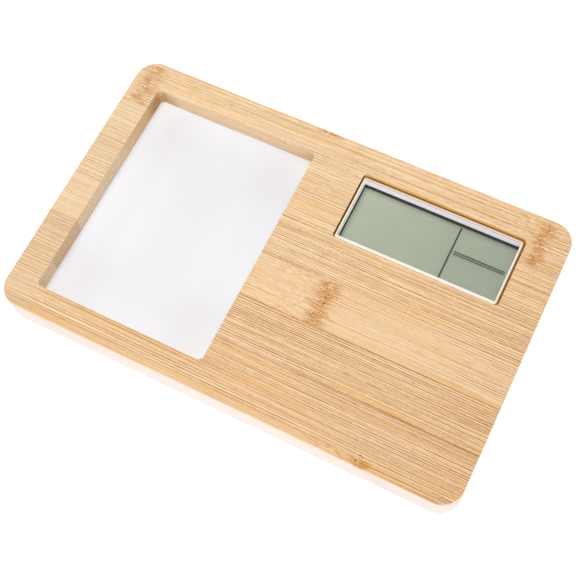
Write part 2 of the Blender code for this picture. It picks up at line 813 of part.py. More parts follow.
def coin_cell(module):
    """The cell stands with its wide pole to the door, a clip at its side and a strip across its cap."""
    profile = (
        (0, CELL_HEIGHT),
        (CELL_CAP_RADIUS, CELL_HEIGHT),
        (CELL_CAP_RADIUS, CELL_HEIGHT - CELL_CAP_HEIGHT),
        (CELL_RADIUS - CELL_EDGE, CELL_HEIGHT - CELL_CAP_HEIGHT),
        (CELL_RADIUS, CELL_HEIGHT - CELL_CAP_HEIGHT - CELL_EDGE),
        (CELL_RADIUS, CELL_EDGE),
        (CELL_RADIUS - CELL_EDGE, 0),
        (0, 0),
    )
    cell = part("coin_cell", outline("coin_cell", profile), "steel", module, (CELL_X, 0, CELL_BOTTOM))
    turn_profile(cell, FINE)
    strip_length = 2 * (CELL_RADIUS + FIT + STRIP_LANDING)
    strip = block("contact_negative", strip_length, STRIP_WIDTH, STRIP_THICKNESS, STRIP_WIDTH / 3)
    part("contact_negative", strip, "steel", module, (CELL_X, 0, CIRCUIT_TOP + LAYER))
    top = CIRCUIT_BOTTOM - LAYER
    inner = CELL_RADIUS + FIT
    clip_profile = (
        (inner + CLIP_FOOT, top),
        (inner, top),
        (inner, top - CLIP_HEIGHT),
    )
    start = FULL_TURN / 2 - math.radians(CLIP_ARC_DEG) / 2
    clip = part(
        "contact_positive", outline("contact_positive", clip_profile), "steel", module, (CELL_X, 0, 0), start
    )
    turn_profile(clip, SMALL // 2, math.radians(CLIP_ARC_DEG))
    sheet = clip.modifiers.new("sheet", "SOLIDIFY")
    sheet.thickness = CLIP_THICKNESS
    sheet.offset = 1
    sheet.use_even_offset = True


def rear_cover(module):
    """The white cover: plate, ribs that carry the circuit board, buzzer seat, battery well and holes."""
    mesh = block(
        "rear_cover", COVER_LENGTH, COVER_WIDTH, COVER_THICKNESS, COVER_CORNER_RADIUS, COVER_EDGE_RADIUS
    )
    cover = part("rear_cover", mesh, "white_abs", module, (0, 0, COVER_OUTER))
    rooted = COVER_INNER - SINK
    rib_height = CIRCUIT_BOTTOM - LAYER - rooted
    ribs = helper(
        "rib_tool",
        block("rib_tool", CIRCUIT_LENGTH, CIRCUIT_WIDTH, rib_height, CIRCUIT_CORNER_RADIUS),
        module,
        (0, 0, rooted),
    )
    rib_space = helper(
        "rib_space_cutter",
        block(
            "rib_space_cutter",
            CIRCUIT_LENGTH - 2 * RIB_THICKNESS,
            CIRCUIT_WIDTH - 2 * RIB_THICKNESS,
            CIRCUIT_STANDOFF + OVERRUN,
        ),
        module,
        (0, 0, COVER_INNER),
    )
    corner_side = 2 * RIB_CORNER_GAP
    rib_gaps = helper(
        "rib_gap_cutter",
        blocks(
            "rib_gap_cutter",
            corner_side + BOSS_RADIUS,
            corner_side + BOSS_RADIUS,
            CIRCUIT_STANDOFF + OVERRUN,
            corners_of(BOSS_X, BOSS_Y),
        ),
        module,
        (0, 0, COVER_INNER),
    )
    join(cover, ribs)
    cut(cover, rib_space, rib_gaps)
    add_buzzer_seat(cover, module, rooted)
    add_battery_well(cover, module, rooted)
    cut_cover_holes(cover, module)


def add_buzzer_seat(cover, module, rooted):
    wall = helper(
        "buzzer_seat_tool",
        cylinders(
            "buzzer_seat_tool", BUZZER_SEAT_RADIUS, BUZZER_WALL_HEIGHT + COVER_INNER - rooted, steps=FINE
        ),
        module,
        (BUZZER_X, 0, rooted),
    )
    recess = helper(
        "buzzer_recess_cutter",
        cylinders("buzzer_recess_cutter", BUZZER_RADIUS + FIT, BUZZER_WALL_HEIGHT + OVERRUN, steps=FINE),
        module,
        (BUZZER_X, 0, COVER_INNER + BUZZER_SEAT_HEIGHT),
    )
    room = helper(
        "buzzer_room_cutter",
        cylinders("buzzer_room_cutter", BUZZER_RADIUS - BUZZER_LEDGE, BUZZER_WALL_HEIGHT, steps=FINE),
        module,
        (BUZZER_X, 0, COVER_INNER),
    )
    join(cover, wall)
    cut(cover, recess, room)


def add_battery_well(cover, module, rooted):
    """The wall round the door's lugs, the door's opening, its recess and the notches that let the lugs in."""
    wall = helper(
        "well_tool",
        cylinders("well_tool", WELL_OUTER, WELL_HEIGHT + COVER_INNER - rooted, steps=FINE),
        module,
        (CELL_X, 0, rooted),
    )
    room = helper(
        "well_room_cutter",
        cylinders("well_room_cutter", WELL_INNER, WELL_HEIGHT + OVERRUN, steps=FINE),
        module,
        (CELL_X, 0, COVER_INNER),
    )
    door_hole = helper(
        "door_hole_cutter",
        cylinders("door_hole_cutter", DOOR_OPENING, COVER_THICKNESS + 2 * OVERRUN, steps=FINE),
        module,
        (CELL_X, 0, COVER_OUTER - OVERRUN),
    )
    head_recess = helper(
        "door_recess_cutter",
        cylinders(
            "door_recess_cutter", DOOR_HEAD_RADIUS + FIT, DOOR_HEAD_THICKNESS + LAYER + OVERRUN, steps=FINE
        ),
        module,
        (CELL_X, 0, COVER_OUTER - OVERRUN),
    )
    join(cover, wall)
    cut(cover, room, door_hole, head_recess)
    turn = math.radians(LUG_TURN_DEG)
    for k in range(DOOR_COUNT):
        notch = helper(
            f"lug_notch_cutter_{k + 1}",
            blocks(
                "lug_notch_cutter",
                LUG_RADIUS + FIT - DOOR_WALL_INNER,
                LUG_WIDTH + 2 * FIT,
                COVER_THICKNESS + OVERRUN,
                [((LUG_RADIUS + FIT + DOOR_WALL_INNER) / 2, 0)],
            ),
            module,
            (CELL_X, 0, COVER_OUTER),
            turn + FULL_TURN * k / DOOR_COUNT,
        )
        cut(cover, notch)


def cut_cover_holes(cover, module):
    through = COVER_THICKNESS + 2 * OVERRUN
    below = COVER_OUTER - OVERRUN
    screw_places = corners_of(BOSS_X, BOSS_Y)
    button_places = [(x, y) for x in BUTTON_COLUMNS for y in BUTTON_ROWS]
    sound_places = [(BUZZER_X, 0)]
    sound_places += [(BUZZER_X + x, y) for x, y in around(SOUND_RING_RADIUS, SOUND_RING_COUNT)]
    screw_holes = helper(
        "screw_hole_cutter",
        cylinders("screw_hole_cutter", SCREW_HOLE_RADIUS, through, screw_places),
        module,
        (0, 0, below),
    )
    sink_slope = (SCREW_HEAD_RADIUS - SCREW_RADIUS) / SCREW_HEAD_HEIGHT
    countersinks = helper(
        "countersink_cutter",
        cones(
            "countersink_cutter",
            SCREW_HEAD_RADIUS + FIT + OVERRUN * sink_slope,
            SCREW_RADIUS + FIT,
            SCREW_HEAD_HEIGHT + OVERRUN,
            screw_places,
        ),
        module,
        (0, 0, below),
    )
    button_holes = helper(
        "button_hole_cutter",
        cylinders("button_hole_cutter", BUTTON_RADIUS + FIT, through, button_places, ROUND),
        module,
        (0, 0, below),
    )
    sound_holes = helper(
        "sound_hole_cutter",
        cylinders("sound_hole_cutter", SOUND_HOLE_RADIUS, through, sound_places, SMALL // 2),
        module,
        (0, 0, below),
    )
    cut(cover, screw_holes, countersinks, button_holes, sound_holes)


def battery_door(module):
    """A cup that turns in the cover: its head lies in the recess and its lugs hook over the plate inside."""
    axis = anchor("battery_door_turn", (CELL_X, 0, COVER_OUTER), module)
    floor = COVER_THICKNESS
    top = LUG_BOTTOM - COVER_OUTER + DOOR_WALL_HEIGHT - FIT
    profile = (
        (0, floor),
        (DOOR_WALL_INNER, floor),
        (DOOR_WALL_INNER, top),
        (DOOR_WALL_OUTER, top),
        (DOOR_WALL_OUTER, DOOR_HEAD_THICKNESS),
        (DOOR_HEAD_RADIUS, DOOR_HEAD_THICKNESS),
        (DOOR_HEAD_RADIUS, COVER_EDGE_RADIUS),
        (DOOR_HEAD_RADIUS - COVER_EDGE_RADIUS, 0),
        (0, 0),
    )
    door = part("battery_door", outline("battery_door", profile), "white_abs", axis)
    turn_profile(door, FINE)
    lug_root = DOOR_WALL_OUTER - DOOR_WALL / 2
    for k in range(DOOR_COUNT):
        lug = helper(
            f"lug_tool_{k + 1}",
            blocks(
                "lug_tool",
                LUG_RADIUS - lug_root,
                LUG_WIDTH,
                LUG_THICKNESS,
                [((LUG_RADIUS + lug_root) / 2, 0)],
            ),
            axis,
            (0, 0, LUG_BOTTOM - COVER_OUTER),
            FULL_TURN * k / DOOR_COUNT,
        )
        join(door, lug)
    slot = helper(
        "coin_slot_cutter",
        block(
            "coin_slot_cutter",
            COIN_SLOT_LENGTH,
            COIN_SLOT_WIDTH,
            COIN_SLOT_DEPTH + OVERRUN,
            COIN_SLOT_WIDTH / 3,
        ),
        axis,
        (0, 0, -OVERRUN),
    )
    cut(door, slot)


def cover_screws(module):
    """Four countersunk screws, from the cover through the circuit board into the housing's bosses."""
    end = ROOF_INNER - SCREW_END_GAP - COVER_OUTER
    profile = (
        (0, end),
        (SCREW_RADIUS - SCREW_TIP_LENGTH / 2, end),
        (SCREW_RADIUS, end - SCREW_TIP_LENGTH),
        (SCREW_RADIUS, SCREW_HEAD_HEIGHT),
        (SCREW_HEAD_RADIUS, 0),
        (0, 0),
    )
    for number, spot in enumerate(corners_of(BOSS_X, BOSS_Y), 1):
        name = f"cover_screw_{number}"
        screw = part(name, outline("cover_screw", profile), "steel", module, (*spot, COVER_OUTER))
        turn_profile(screw, SMALL)


def split_crisp_edges():
    """Every mesh is shaded smooth, so after its cuts and joins a piece is split along its sharp edges."""
    for obj in PARTS.objects:
        if obj.type == "MESH":
            split = obj.modifiers.new("crisp edges", "EDGE_SPLIT")
            split.split_angle = math.radians(CRISP_EDGE_DEG)
            split.use_edge_sharp = False


def main():
    board()
    feet()
    memo_pad()
    module = anchor("clock_module", (MODULE_X, MODULE_Y, 0))
    front_housing(module)
    mounting_tape(module)
    display(module)
    circuit(module)
    buttons(module)
    buzzer(module)
    coin_cell(module)
    rear_cover(module)
    battery_door(module)
    cover_screws(module)
    split_crisp_edges()


main()
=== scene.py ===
"""Looks of the desk alarm clock: a bamboo board with a memo pad in a pocket and a clock let into it.

Metres, +Z up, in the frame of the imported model. Finer surfaces take the place of the board, the sheets,
the feet, the buttons, the screws and the display's film and glasses. The other nodes stay and get their
materials here.
"""

import math

import bmesh
import bpy
import numpy as np
from mathutils import Matrix, Vector
from mathutils.geometry import tessellate_polygon


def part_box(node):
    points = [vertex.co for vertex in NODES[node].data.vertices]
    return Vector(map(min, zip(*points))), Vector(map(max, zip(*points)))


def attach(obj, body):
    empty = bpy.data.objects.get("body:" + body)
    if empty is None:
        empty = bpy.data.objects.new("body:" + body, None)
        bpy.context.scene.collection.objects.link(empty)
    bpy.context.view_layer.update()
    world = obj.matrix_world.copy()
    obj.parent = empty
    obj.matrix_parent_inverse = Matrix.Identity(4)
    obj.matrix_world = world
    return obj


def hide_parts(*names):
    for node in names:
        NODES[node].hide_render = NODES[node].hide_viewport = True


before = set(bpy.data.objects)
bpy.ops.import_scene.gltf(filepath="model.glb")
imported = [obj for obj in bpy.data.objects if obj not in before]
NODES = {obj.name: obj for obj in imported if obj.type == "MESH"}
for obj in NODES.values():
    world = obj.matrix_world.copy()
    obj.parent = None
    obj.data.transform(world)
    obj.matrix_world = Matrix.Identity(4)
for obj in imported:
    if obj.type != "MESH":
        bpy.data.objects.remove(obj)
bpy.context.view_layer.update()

MM = 0.001
FULL_TURN = 2 * math.pi
QUARTER_TURN = FULL_TURN / 4

# The camera of the photograph, solved from the board's outline
CAMERA_PLACE = (0.0983122, -0.1463197, 0.4079525)
CAMERA_RIGHT = (0.8928934, 0.4469107, -0.0548840)
CAMERA_UP = (-0.3939364, 0.8343952, 0.3854852)
CAMERA_FOCAL_PIXELS = 1069.3
IMAGE_SIDE_PIXELS = 576
SENSOR_WIDTH_MM = 36

# Sizes of the wood that no box of the frame gives
BOARD_CORNER_RADIUS = 9.2 * MM
BOARD_EDGE_RADIUS = 0.6 * MM
POCKET_CORNER_RADIUS = 2.1 * MM
POCKET_EDGE_RADIUS = 0.25 * MM
PAD_CLEARANCE = 0.4 * MM
SHEET_CLEARANCE = 0.04 * MM
PAD_DROP = 0.3 * MM
WINDOW_LENGTH = 71.74 * MM
WINDOW_WIDTH = 31.8 * MM
WINDOW_CORNER_RADIUS = 1.8 * MM
WINDOW_EDGE_RADIUS = 0.2 * MM
WINDOW_SHIFT = 0.36 * MM
SHOULDER_LEVEL = 12.4 * MM
HOUSING_CORNER_RADIUS = 2.5 * MM
COVER_CORNER_RADIUS = 3 * MM
REBATE_CLEARANCE = 0.3 * MM

# How finely surfaces are cut, and how they are joined
CORNER_STEPS = 12
EDGE_STEPS = 5
TURNED_STEPS = 64
FLAT_MARGIN = 0.3 * MM
MERGE_DISTANCE = 0.001 * MM
CRISP_EDGE_DEG = 32

# Bamboo strips from the front of the board to the back: tone, its fall with each millimetre to the right,
# which is painted light falling off from the left, strength of the fibres, darkness of the seam before the
# strip, and tone of the cut end
STRIP_MM = 20.0
FIRST_SEAM_MM = -79.4
STRIP_TONES = (0.44, 0.41, 0.36, 0.57, 0.47, 0.57, 0.57, 0.61, 0.60)
STRIP_PAINTED_FALLOFFS = (0.0003, 0.0006, 0.0007, 0.0009, 0.0008, 0.0009, 0.0009, 0.0008, 0.0008)
STRIP_CONTRASTS = (0.5, 0.8, 1.0, 0.72, 1.0, 0.9, 0.95, 1.0, 1.0)
SEAM_DARKNESS = (0.0, 0.03, 0.06, 0.20, 0.08, 0.05, 0.08, 0.05, 0.0)
END_GRAIN_TONES = (0.75, 0.9, 0.40, 0.85, 0.8, 0.65, 0.75, 0.7, 0.7)
WOOD_EXPOSURE = 0.842
LEVEL_SLACK_MM = 0.1
FAR_FROM_PITS_MM = 9.0

# Knuckles that the photograph shows: strip, place along it, half width and strength
KNUCKLES_MM = (
    (7, -10.5, 6.5, 0.9),
    (6, -92.4, 5.8, 0.75),
    (6, 88.4, 3.6, 0.95),
    (3, 20.6, 5.2, 1.0),
    (0, 61.2, 5.2, 1.0),
)
# Pits in the knuckles: x, y and radius
KNUCKLE_PITS_MM = (
    (19.9, 0.0, 0.28), (19.8, -2.9, 0.22), (21.3, -5.0, 0.26), (21.0, -6.4, 0.28), (19.4, -6.4, 0.20),
    (19.5, -8.8, 0.26), (21.6, -9.0, 0.36), (19.3, -14.5, 0.28), (18.6, -15.4, 0.22),
    (89.7, 57.6, 0.26), (88.1, 52.9, 0.26), (88.4, 50.3, 0.28), (88.7, 47.1, 0.26), (87.9, 43.6, 0.26),
    (87.9, 41.1, 0.22), (60.2, -58.1, 0.34), (61.2, -58.5, 0.22), (59.4, -60.5, 0.36), (-94.0, 48.9, 0.28),
)

# The display's dark lines: left and front, right and back. The last is a painted reflection of the one before
# it in the reflector film.
DIVIDER_LINES_AND_PAINTED_REFLECTION_MM = (
    ((56.36, 23.45), (56.85, 47.75)),
    ((57.75, 36.50), (79.85, 36.86)),
    ((57.75, 35.50), (79.85, 35.80)),
)

# Soft lights: name, place, aim, side in metres and power in watts
SOFT_BOXES = (
    ("soft box overhead", (-0.1, -0.03, 0.85), (-0.1, -0.03, 0), 0.4, 3.3),
    ("low soft box in front", (0.15, -1.2, 0.25), (0, 0, 0), 0.5, 9.0),
    ("low soft box behind", (-0.15, 1.2, 0.25), (0, 0, 0), 0.5, 5.0),
    ("low soft box at the left", (-1.2, 0.1, 0.35), (0, 0, 0), 0.5, 3.4),
    ("low soft box at the right", (1.2, -0.1, 0.35), (0, 0, 0), 0.5, 4.6),
)


def linear(red, green, blue):
    """A screen colour, 0 to 255, as linear light."""
    shares = np.array([red, green, blue]) / 255
    low = shares / 12.92
    high = ((shares + 0.055) / 1.055) ** 2.4
    return (*np.where(shares <= 0.04045, low, high).tolist(), 1.0)


class Wire:
    """A socket in a material. Plain arithmetic on it adds Math nodes."""

    def __init__(self, finish, socket):
        self.finish = finish
        self.socket = socket

    def math(self, operation, *values):
        return self.finish.node("ShaderNodeMath", {"operation": operation}, dict(enumerate(values)))

    def __add__(self, other):
        return self.math("ADD", self, other)

    def __sub__(self, other):
        return self.math("SUBTRACT", self, other)

    def __rsub__(self, other):
        return self.math("SUBTRACT", other, self)

    def __mul__(self, other):
        return self.math("MULTIPLY", self, other)

    def __truediv__(self, other):
        return self.math("DIVIDE", self, other)

    def __rtruediv__(self, other):
        return self.math("DIVIDE", other, self)

    def __lt__(self, other):
        return self.math("LESS_THAN", self, other)

    def __gt__(self, other):
        return self.math("GREATER_THAN", self, other)

    def __abs__(self):
        return self.math("ABSOLUTE", self)

    __radd__ = __add__
    __rmul__ = __mul__

    def floor(self):
        return self.math("FLOOR", self)

    def least(self, other):
        return self.math("MINIMUM", self, other)

    def most(self, other):
        return self.math("MAXIMUM", self, other)

    def root(self):
        return self.math("SQRT", self)

    def equals(self, other):
        return self.math("COMPARE", self, other, 0.5)


class Finish:
    """A Principled material whose nodes are added by expressions."""

    def __init__(self, name, **constants):
        self.material = bpy.data.materials.new(name)
        self.material.use_nodes = True
        self.tree = self.material.node_tree
        self.shader = self.tree.nodes["Principled BSDF"]
        for label, value in constants.items():
            self.shader.inputs[label.replace("_", " ")].default_value = value

    def node(self, kind, settings=None, values=None, result=0):
        """Adds a node, with numbers, tuples or wires in its sockets, and returns its output called result."""
        made = self.tree.nodes.new(kind)
        for name, value in (settings or {}).items():
            setattr(made, name, value)
        by_identifier = {socket.identifier: socket for socket in made.inputs}
        for key, value in (values or {}).items():
            socket = by_identifier.get(key) or made.inputs[key]
            if isinstance(value, Wire):
                self.tree.links.new(value.socket, socket)
            else:
                socket.default_value = value
        outputs = {socket.identifier: socket for socket in made.outputs}
        return Wire(self, outputs.get(result) or made.outputs[result])

    def feed(self, label, wire):
        self.tree.links.new(wire.socket, self.shader.inputs[label])

    def split(self, vector):
        parts = self.node("ShaderNodeSeparateXYZ", values={"Vector": vector}).socket.node
        return [Wire(self, socket) for socket in parts.outputs]

    def join(self, x, y, z):
        return self.node("ShaderNodeCombineXYZ", values={"X": x, "Y": y, "Z": z})

    def millimetres(self):
        """The place on the piece, in millimetres."""
        place = self.node("ShaderNodeTexCoord", result="Object")
        return self.node(
            "ShaderNodeVectorMath",
            {"operation": "MULTIPLY"},
            {0: place, 1: (1 / MM, 1 / MM, 1 / MM)},
        )

    def noise(self, vector, scale=1.0, detail=2.0, roughness=0.5):
        values = {"Vector": vector, "Scale": scale, "Detail": detail, "Roughness": roughness}
        return self.node("ShaderNodeTexNoise", None, values, "Fac")

    def cells(self, vector, scale=1.0):
        """How far a place is from the middle of its random cell."""
        values = {"Vector": vector, "Scale": scale}
        return self.node("ShaderNodeTexVoronoi", {"feature": "F1"}, values, "Distance")

    def distance(self, place, point):
        return self.node("ShaderNodeVectorMath", {"operation": "DISTANCE"}, {0: place, 1: point}, "Value")

    def draw(self, vector, result="Value"):
        """A random number, or with result "Color" three of them, for each place."""
        return self.node("ShaderNodeTexWhiteNoise", {"noise_dimensions": "3D"}, {"Vector": vector}, result)

    def ease(self, value, low, high, to_low=0.0, to_high=1.0):
        """Goes smoothly from to_low at low to to_high at high, and stays there."""
        values = {"Value": value, 1: low, 2: high, 3: to_low, 4: to_high}
        return self.node("ShaderNodeMapRange", {"interpolation_type": "SMOOTHSTEP"}, values)

    def ramp(self, value, stops, interpolation="LINEAR"):
        """A colour ramp through stops of (position, colour)."""
        made = self.node("ShaderNodeValToRGB", None, {"Fac": value}, "Color")
        band = made.socket.node.color_ramp
        band.interpolation = interpolation
        while len(band.elements) < len(stops):
            band.elements.new(1.0)
        for element, (position, colour) in zip(band.elements, stops):
            element.position = position
            element.color = colour
        return made

    def levels(self, value, numbers):
        """The number of the list that a whole value, counted from zero, picks."""
        count = len(numbers)
        stops = [(k / count, (n, n, n, 1)) for k, n in enumerate(numbers)]
        return self.ramp((value + 0.5) / count, stops, "CONSTANT")

    def blend(self, share, first, second):
        """Mixes two colours."""
        values = {"Factor_Float": share, "A_Color": first, "B_Color": second}
        return self.node("ShaderNodeMix", {"data_type": "RGBA"}, values, "Result_Color")

    def scale_colour(self, colour, factor):
        """A colour times a number."""
        return self.node("ShaderNodeVectorMath", {"operation": "SCALE"}, {"Vector": colour, "Scale": factor})

    def bump(self, height, strength=1.0, distance=1.0 * MM):
        values = {"Height": height, "Strength": strength, "Distance": distance}
        self.feed("Normal", self.node("ShaderNodeBump", None, values, "Normal"))


def outline_distance(x, y, middle, length, width, radius):
    """How far a point lies outside a rounded rectangle, in millimetres: below zero it is inside."""
    beyond_x = abs(x - middle[0]) - (length / 2 - radius)
    beyond_y = abs(y - middle[1]) - (width / 2 - radius)
    reach_x = beyond_x.most(0)
    reach_y = beyond_y.most(0)
    corner = (reach_x * reach_x + reach_y * reach_y).root()
    return corner + beyond_x.most(beyond_y).least(0) - radius


class Bamboo:
    """Solid strips of bamboo glued side by side: what their fibres, knuckles and cut faces share.

    Fibre bundles are long thin dark lines. A strip has its own tone, and the knuckles of the stem cross it as
    ragged orange-brown bands with small dark pits. Depth is counted down from the top, in millimetres.
    """

    def __init__(self):
        finish = Finish("bamboo", Specular_IOR_Level=0.15)
        self.finish = finish
        self.x, self.y, self.z = finish.split(finish.millimetres())
        sizes = [np.array(size) / MM for size in size_of("bamboo_board")]
        self.length, self.width, self.middle, underside, top = sizes
        self.thickness = top - underside
        self.depth = top - self.z
        seam_slant = finish.noise(finish.join(0.0, self.y / 24.0, 0.0), 1.0, 1.0) - 0.5
        self.strip_place = (self.y + self.depth * seam_slant * 0.8 - FIRST_SEAM_MM) / STRIP_MM
        self.strip = self.strip_place.floor()
        draws = finish.draw(finish.join(self.strip + 3.0, 15.0, 0.5), "Color")
        self.chances = finish.split(draws)
        self.band, self.calm = self.knuckle_bands()

        wave_place = finish.join(self.x / 90.0, self.y / 9.0, self.z / 9.0 + self.chances[0] * 30.0)
        wave = finish.noise(wave_place, 1.0, 2.0)
        swirl = finish.noise(finish.join(self.x / 5.0, self.y / 2.2, self.z / 2.2), 1.0, 2.0)
        self.bent = self.y + (wave - 0.5) * 1.4 + (swirl - 0.5) * (self.calm * 1.3 + self.band * 1.5)
        self.seed = self.chances[0] * 57.0 + self.chances[2] * 23.0
        self.bold = self.bundles(1.25, 0.26, 60.0, 0.0)
        self.streak = self.fibre(70.0, 0.45, 2.0, 0.5, 5.0) - 0.5
        self.hair = self.fibre(6.0, 0.25, 3.0, 0.6, 7.0) - 0.5

    def knuckle_bands(self):
        """How deep a point lies in a knuckle's ragged band, and in the calmer, mottled wood beside a band."""
        finish, x, y, depth = self.finish, self.x, self.y, self.depth
        rag = finish.noise(finish.join(x / 8.0, y / 0.45, depth / 0.45), 1.0, 2.0, 0.6)
        drift = finish.noise(finish.join(x / 30.0, y / 2.6, depth / 2.6), 1.0, 2.0)
        ragged = x - depth * 1.1 + (rag - 0.5) * 10.0 + (drift - 0.5) * 8.0
        band = 0.0
        calm = 0.0
        for number, middle, half, strength in KNUCKLES_MM:
            here = self.strip.equals(number) * strength
            band = finish.ease(abs(ragged - middle), half * 1.35, half * 0.1) * here + band
            beside = abs(x + (drift - 0.5) * 16.0 - (middle - half * 1.9))
            calm = finish.ease(beside, half * 3.6, half * 0.8) * here + calm
        return band, calm

    def fibre(self, length_mm, width_mm, detail, roughness, shift):
        """Noise drawn out along the strip, 0 to 1."""
        along = self.x / length_mm + self.seed + shift
        drawn = self.finish.join(along, self.bent / width_mm, self.z / width_mm)
        return self.finish.noise(drawn, 1.0, detail, roughness)

    def bundles(self, spacing_mm, half_mm, length_mm, shift):
        """Lines about one spacing apart, each with a strength that changes along it."""
        finish, x, z, bent = self.finish, self.x, self.z, self.bent
        warp_place = finish.join(x / 400.0 + self.seed + shift, bent / 3.4, z / 3.4)
        row = (bent + z * 0.7) / spacing_mm + finish.noise(warp_place, 1.0, 1.0) * 1.8
        number = row.floor()
        away = abs(row - number - 0.5) * spacing_mm
        swell = finish.noise(finish.join(x / length_mm, number * 3.7 + shift, self.seed), 1.0, 1.0)
        return finish.ease(away, half_mm, half_mm * 0.2) * finish.ease(swell, 0.18, 0.66)

    def tone_and_contrast(self):
        """The tone of each strip, and how strongly its fibres stand out."""
        finish, x, strip = self.finish, self.x, self.strip
        # Painted light: each strip's tone falls to the right, and more at the board's right end, as the light
        # falls off from the left.
        tone = finish.levels(strip, STRIP_TONES) - finish.levels(strip, STRIP_PAINTED_FALLOFFS) * x
        tone = tone - finish.ease(x, 78.0, 100.0) * 0.03
        # Lengths of three strips that are paler or darker than the rest
        paler = strip.equals(3) * finish.ease(x, 22.0, 34.0) * finish.ease(x, 84.0, 62.0)
        darker = strip.equals(7) * finish.ease(abs(abs(x + 10.5) - 18.0), 14.0, 3.0)
        tone = tone + paler * 0.035 - darker * 0.09
        tone = tone + strip.equals(0) * finish.ease(abs(x), 20.0, 90.0, 0.07, -0.07)
        lean = (self.chances[1] - 0.5) * (self.strip_place - strip - 0.5) * 0.08
        return tone + lean, finish.levels(strip, STRIP_CONTRASTS) * (1 - paler * 0.3)

    def value(self):
        """How pale the wood is, 0 to 1: the strip's tone, the fibres on it and the dark seams."""
        finish, calm = self.finish, self.calm
        tone, contrast = self.tone_and_contrast()
        thin = self.bundles(0.80, 0.19, 38.0, 9.0)
        pale = self.bundles(0.95, 0.24, 50.0, 21.0)
        broad = self.fibre(200.0, 3.6, 2.0, 0.5, 3.0) - 0.5
        fleck = self.fibre(1.7, 0.30, 1.0, 0.5, 13.0) - 0.5
        patch = self.fibre(24.0, 3.0, 2.0, 0.5, 51.0) - 0.5
        ripple_place = finish.join(self.x / 2.6, self.bent / 0.8, self.z / 0.8)
        ripple = finish.noise(ripple_place, 1.0, 2.0) - 0.5
        lines = self.bold * 0.50 + thin * 0.70
        fibres = broad * 0.05 + self.streak * 0.80 + self.hair * 1.3 + fleck * 0.55
        fibres = fibres + pale * 0.38 - lines + 0.20
        value = tone + fibres * contrast * (1 - calm * 0.6)
        value = value + patch * 0.10 + calm * 0.02 + ripple * (calm * 0.8 + 0.1)
        seam_number = (self.strip_place + 0.5).floor()
        seam_away = abs(self.strip_place - seam_number) * STRIP_MM
        seam = finish.ease(seam_away, 0.7, 0.1) * finish.levels(seam_number, SEAM_DARKNESS)
        return value - seam - finish.ease(seam_away, 0.16, 0.05) * 0.07

    def plain_colour(self):
        """The wood without knuckles, where some fibres lean to orange and some to a greyish pink."""
        finish = self.finish
        colour = finish.ramp(
            self.value(),
            (
                (0.00, linear(178, 128, 78)),
                (0.20, linear(202, 156, 107)),
                (0.40, linear(226, 184, 137)),
                (0.58, linear(240, 202, 157)),
                (0.80, linear(250, 219, 178)),
                (1.00, linear(255, 232, 194)),
            ),
        )
        warm = self.fibre(60.0, 1.1, 2.0, 0.5, 41.0)
        colour = finish.blend(finish.ease(warm, 0.50, 0.72) * 0.6, colour, linear(244, 190, 118))
        colour = finish.blend(finish.ease(warm, 0.47, 0.28) * 0.5, colour, linear(233, 201, 172))
        return finish.blend(finish.ease(self.x, -78.0, -94.0) * 0.25, colour, linear(228, 204, 176))

    def pits(self):
        """Where the knuckles' pits are, 0 to 1."""
        place = self.finish.join(self.x, self.y, self.depth)
        nearest = FAR_FROM_PITS_MM
        for pit_x, pit_y, radius in KNUCKLE_PITS_MM:
            away = self.finish.distance(place, (pit_x, pit_y, 0.0))
            nearest = (away - radius).least(nearest)
        return self.finish.ease(nearest, 0.12, -0.12)

    def with_knuckles(self, colour, pit):
        """An orange-brown stain in streaks over the bands, with veins and pits."""
        finish = self.finish
        clot_place = finish.join(self.x / 3.2, self.bent / 0.75, self.z / 0.75)
        clot = finish.noise(clot_place, 1.0, 3.0, 0.65)
        stain = self.band * finish.ease(clot, 0.38, 0.60, 0.15, 1.0)
        colour = finish.blend(stain * 0.78, colour, linear(214, 144, 62))
        vein = finish.ease(abs(clot - 0.52), 0.05, 0.01) * finish.ease(self.band, 0.2, 0.9)
        colour = finish.blend(vein * 0.55, colour, linear(160, 96, 30))
        return finish.blend(pit * 0.9, colour, linear(104, 54, 10))

    def end_grain(self, outer_end, dust):
        """Specks of cut bundles, denser towards the underside, on each strip's own tone."""
        finish = self.finish
        specks = finish.cells(finish.join(self.x / 0.6, self.y / 0.6, self.z / 0.6))
        speck = finish.ease(specks + self.depth / self.thickness * 0.22, 0.6, 0.25)
        strip_tone = finish.levels(self.strip, END_GRAIN_TONES)
        strip_tone = strip_tone + (0.72 - strip_tone) * outer_end * 0.8
        tone = strip_tone + (dust - 0.5) * (1.2 - outer_end * 0.7)
        grain = finish.blend(finish.ease(tone, 0.1, 0.9), linear(196, 146, 90), linear(243, 218, 182))
        return finish.blend(speck * 0.6, grain, linear(146, 100, 56))

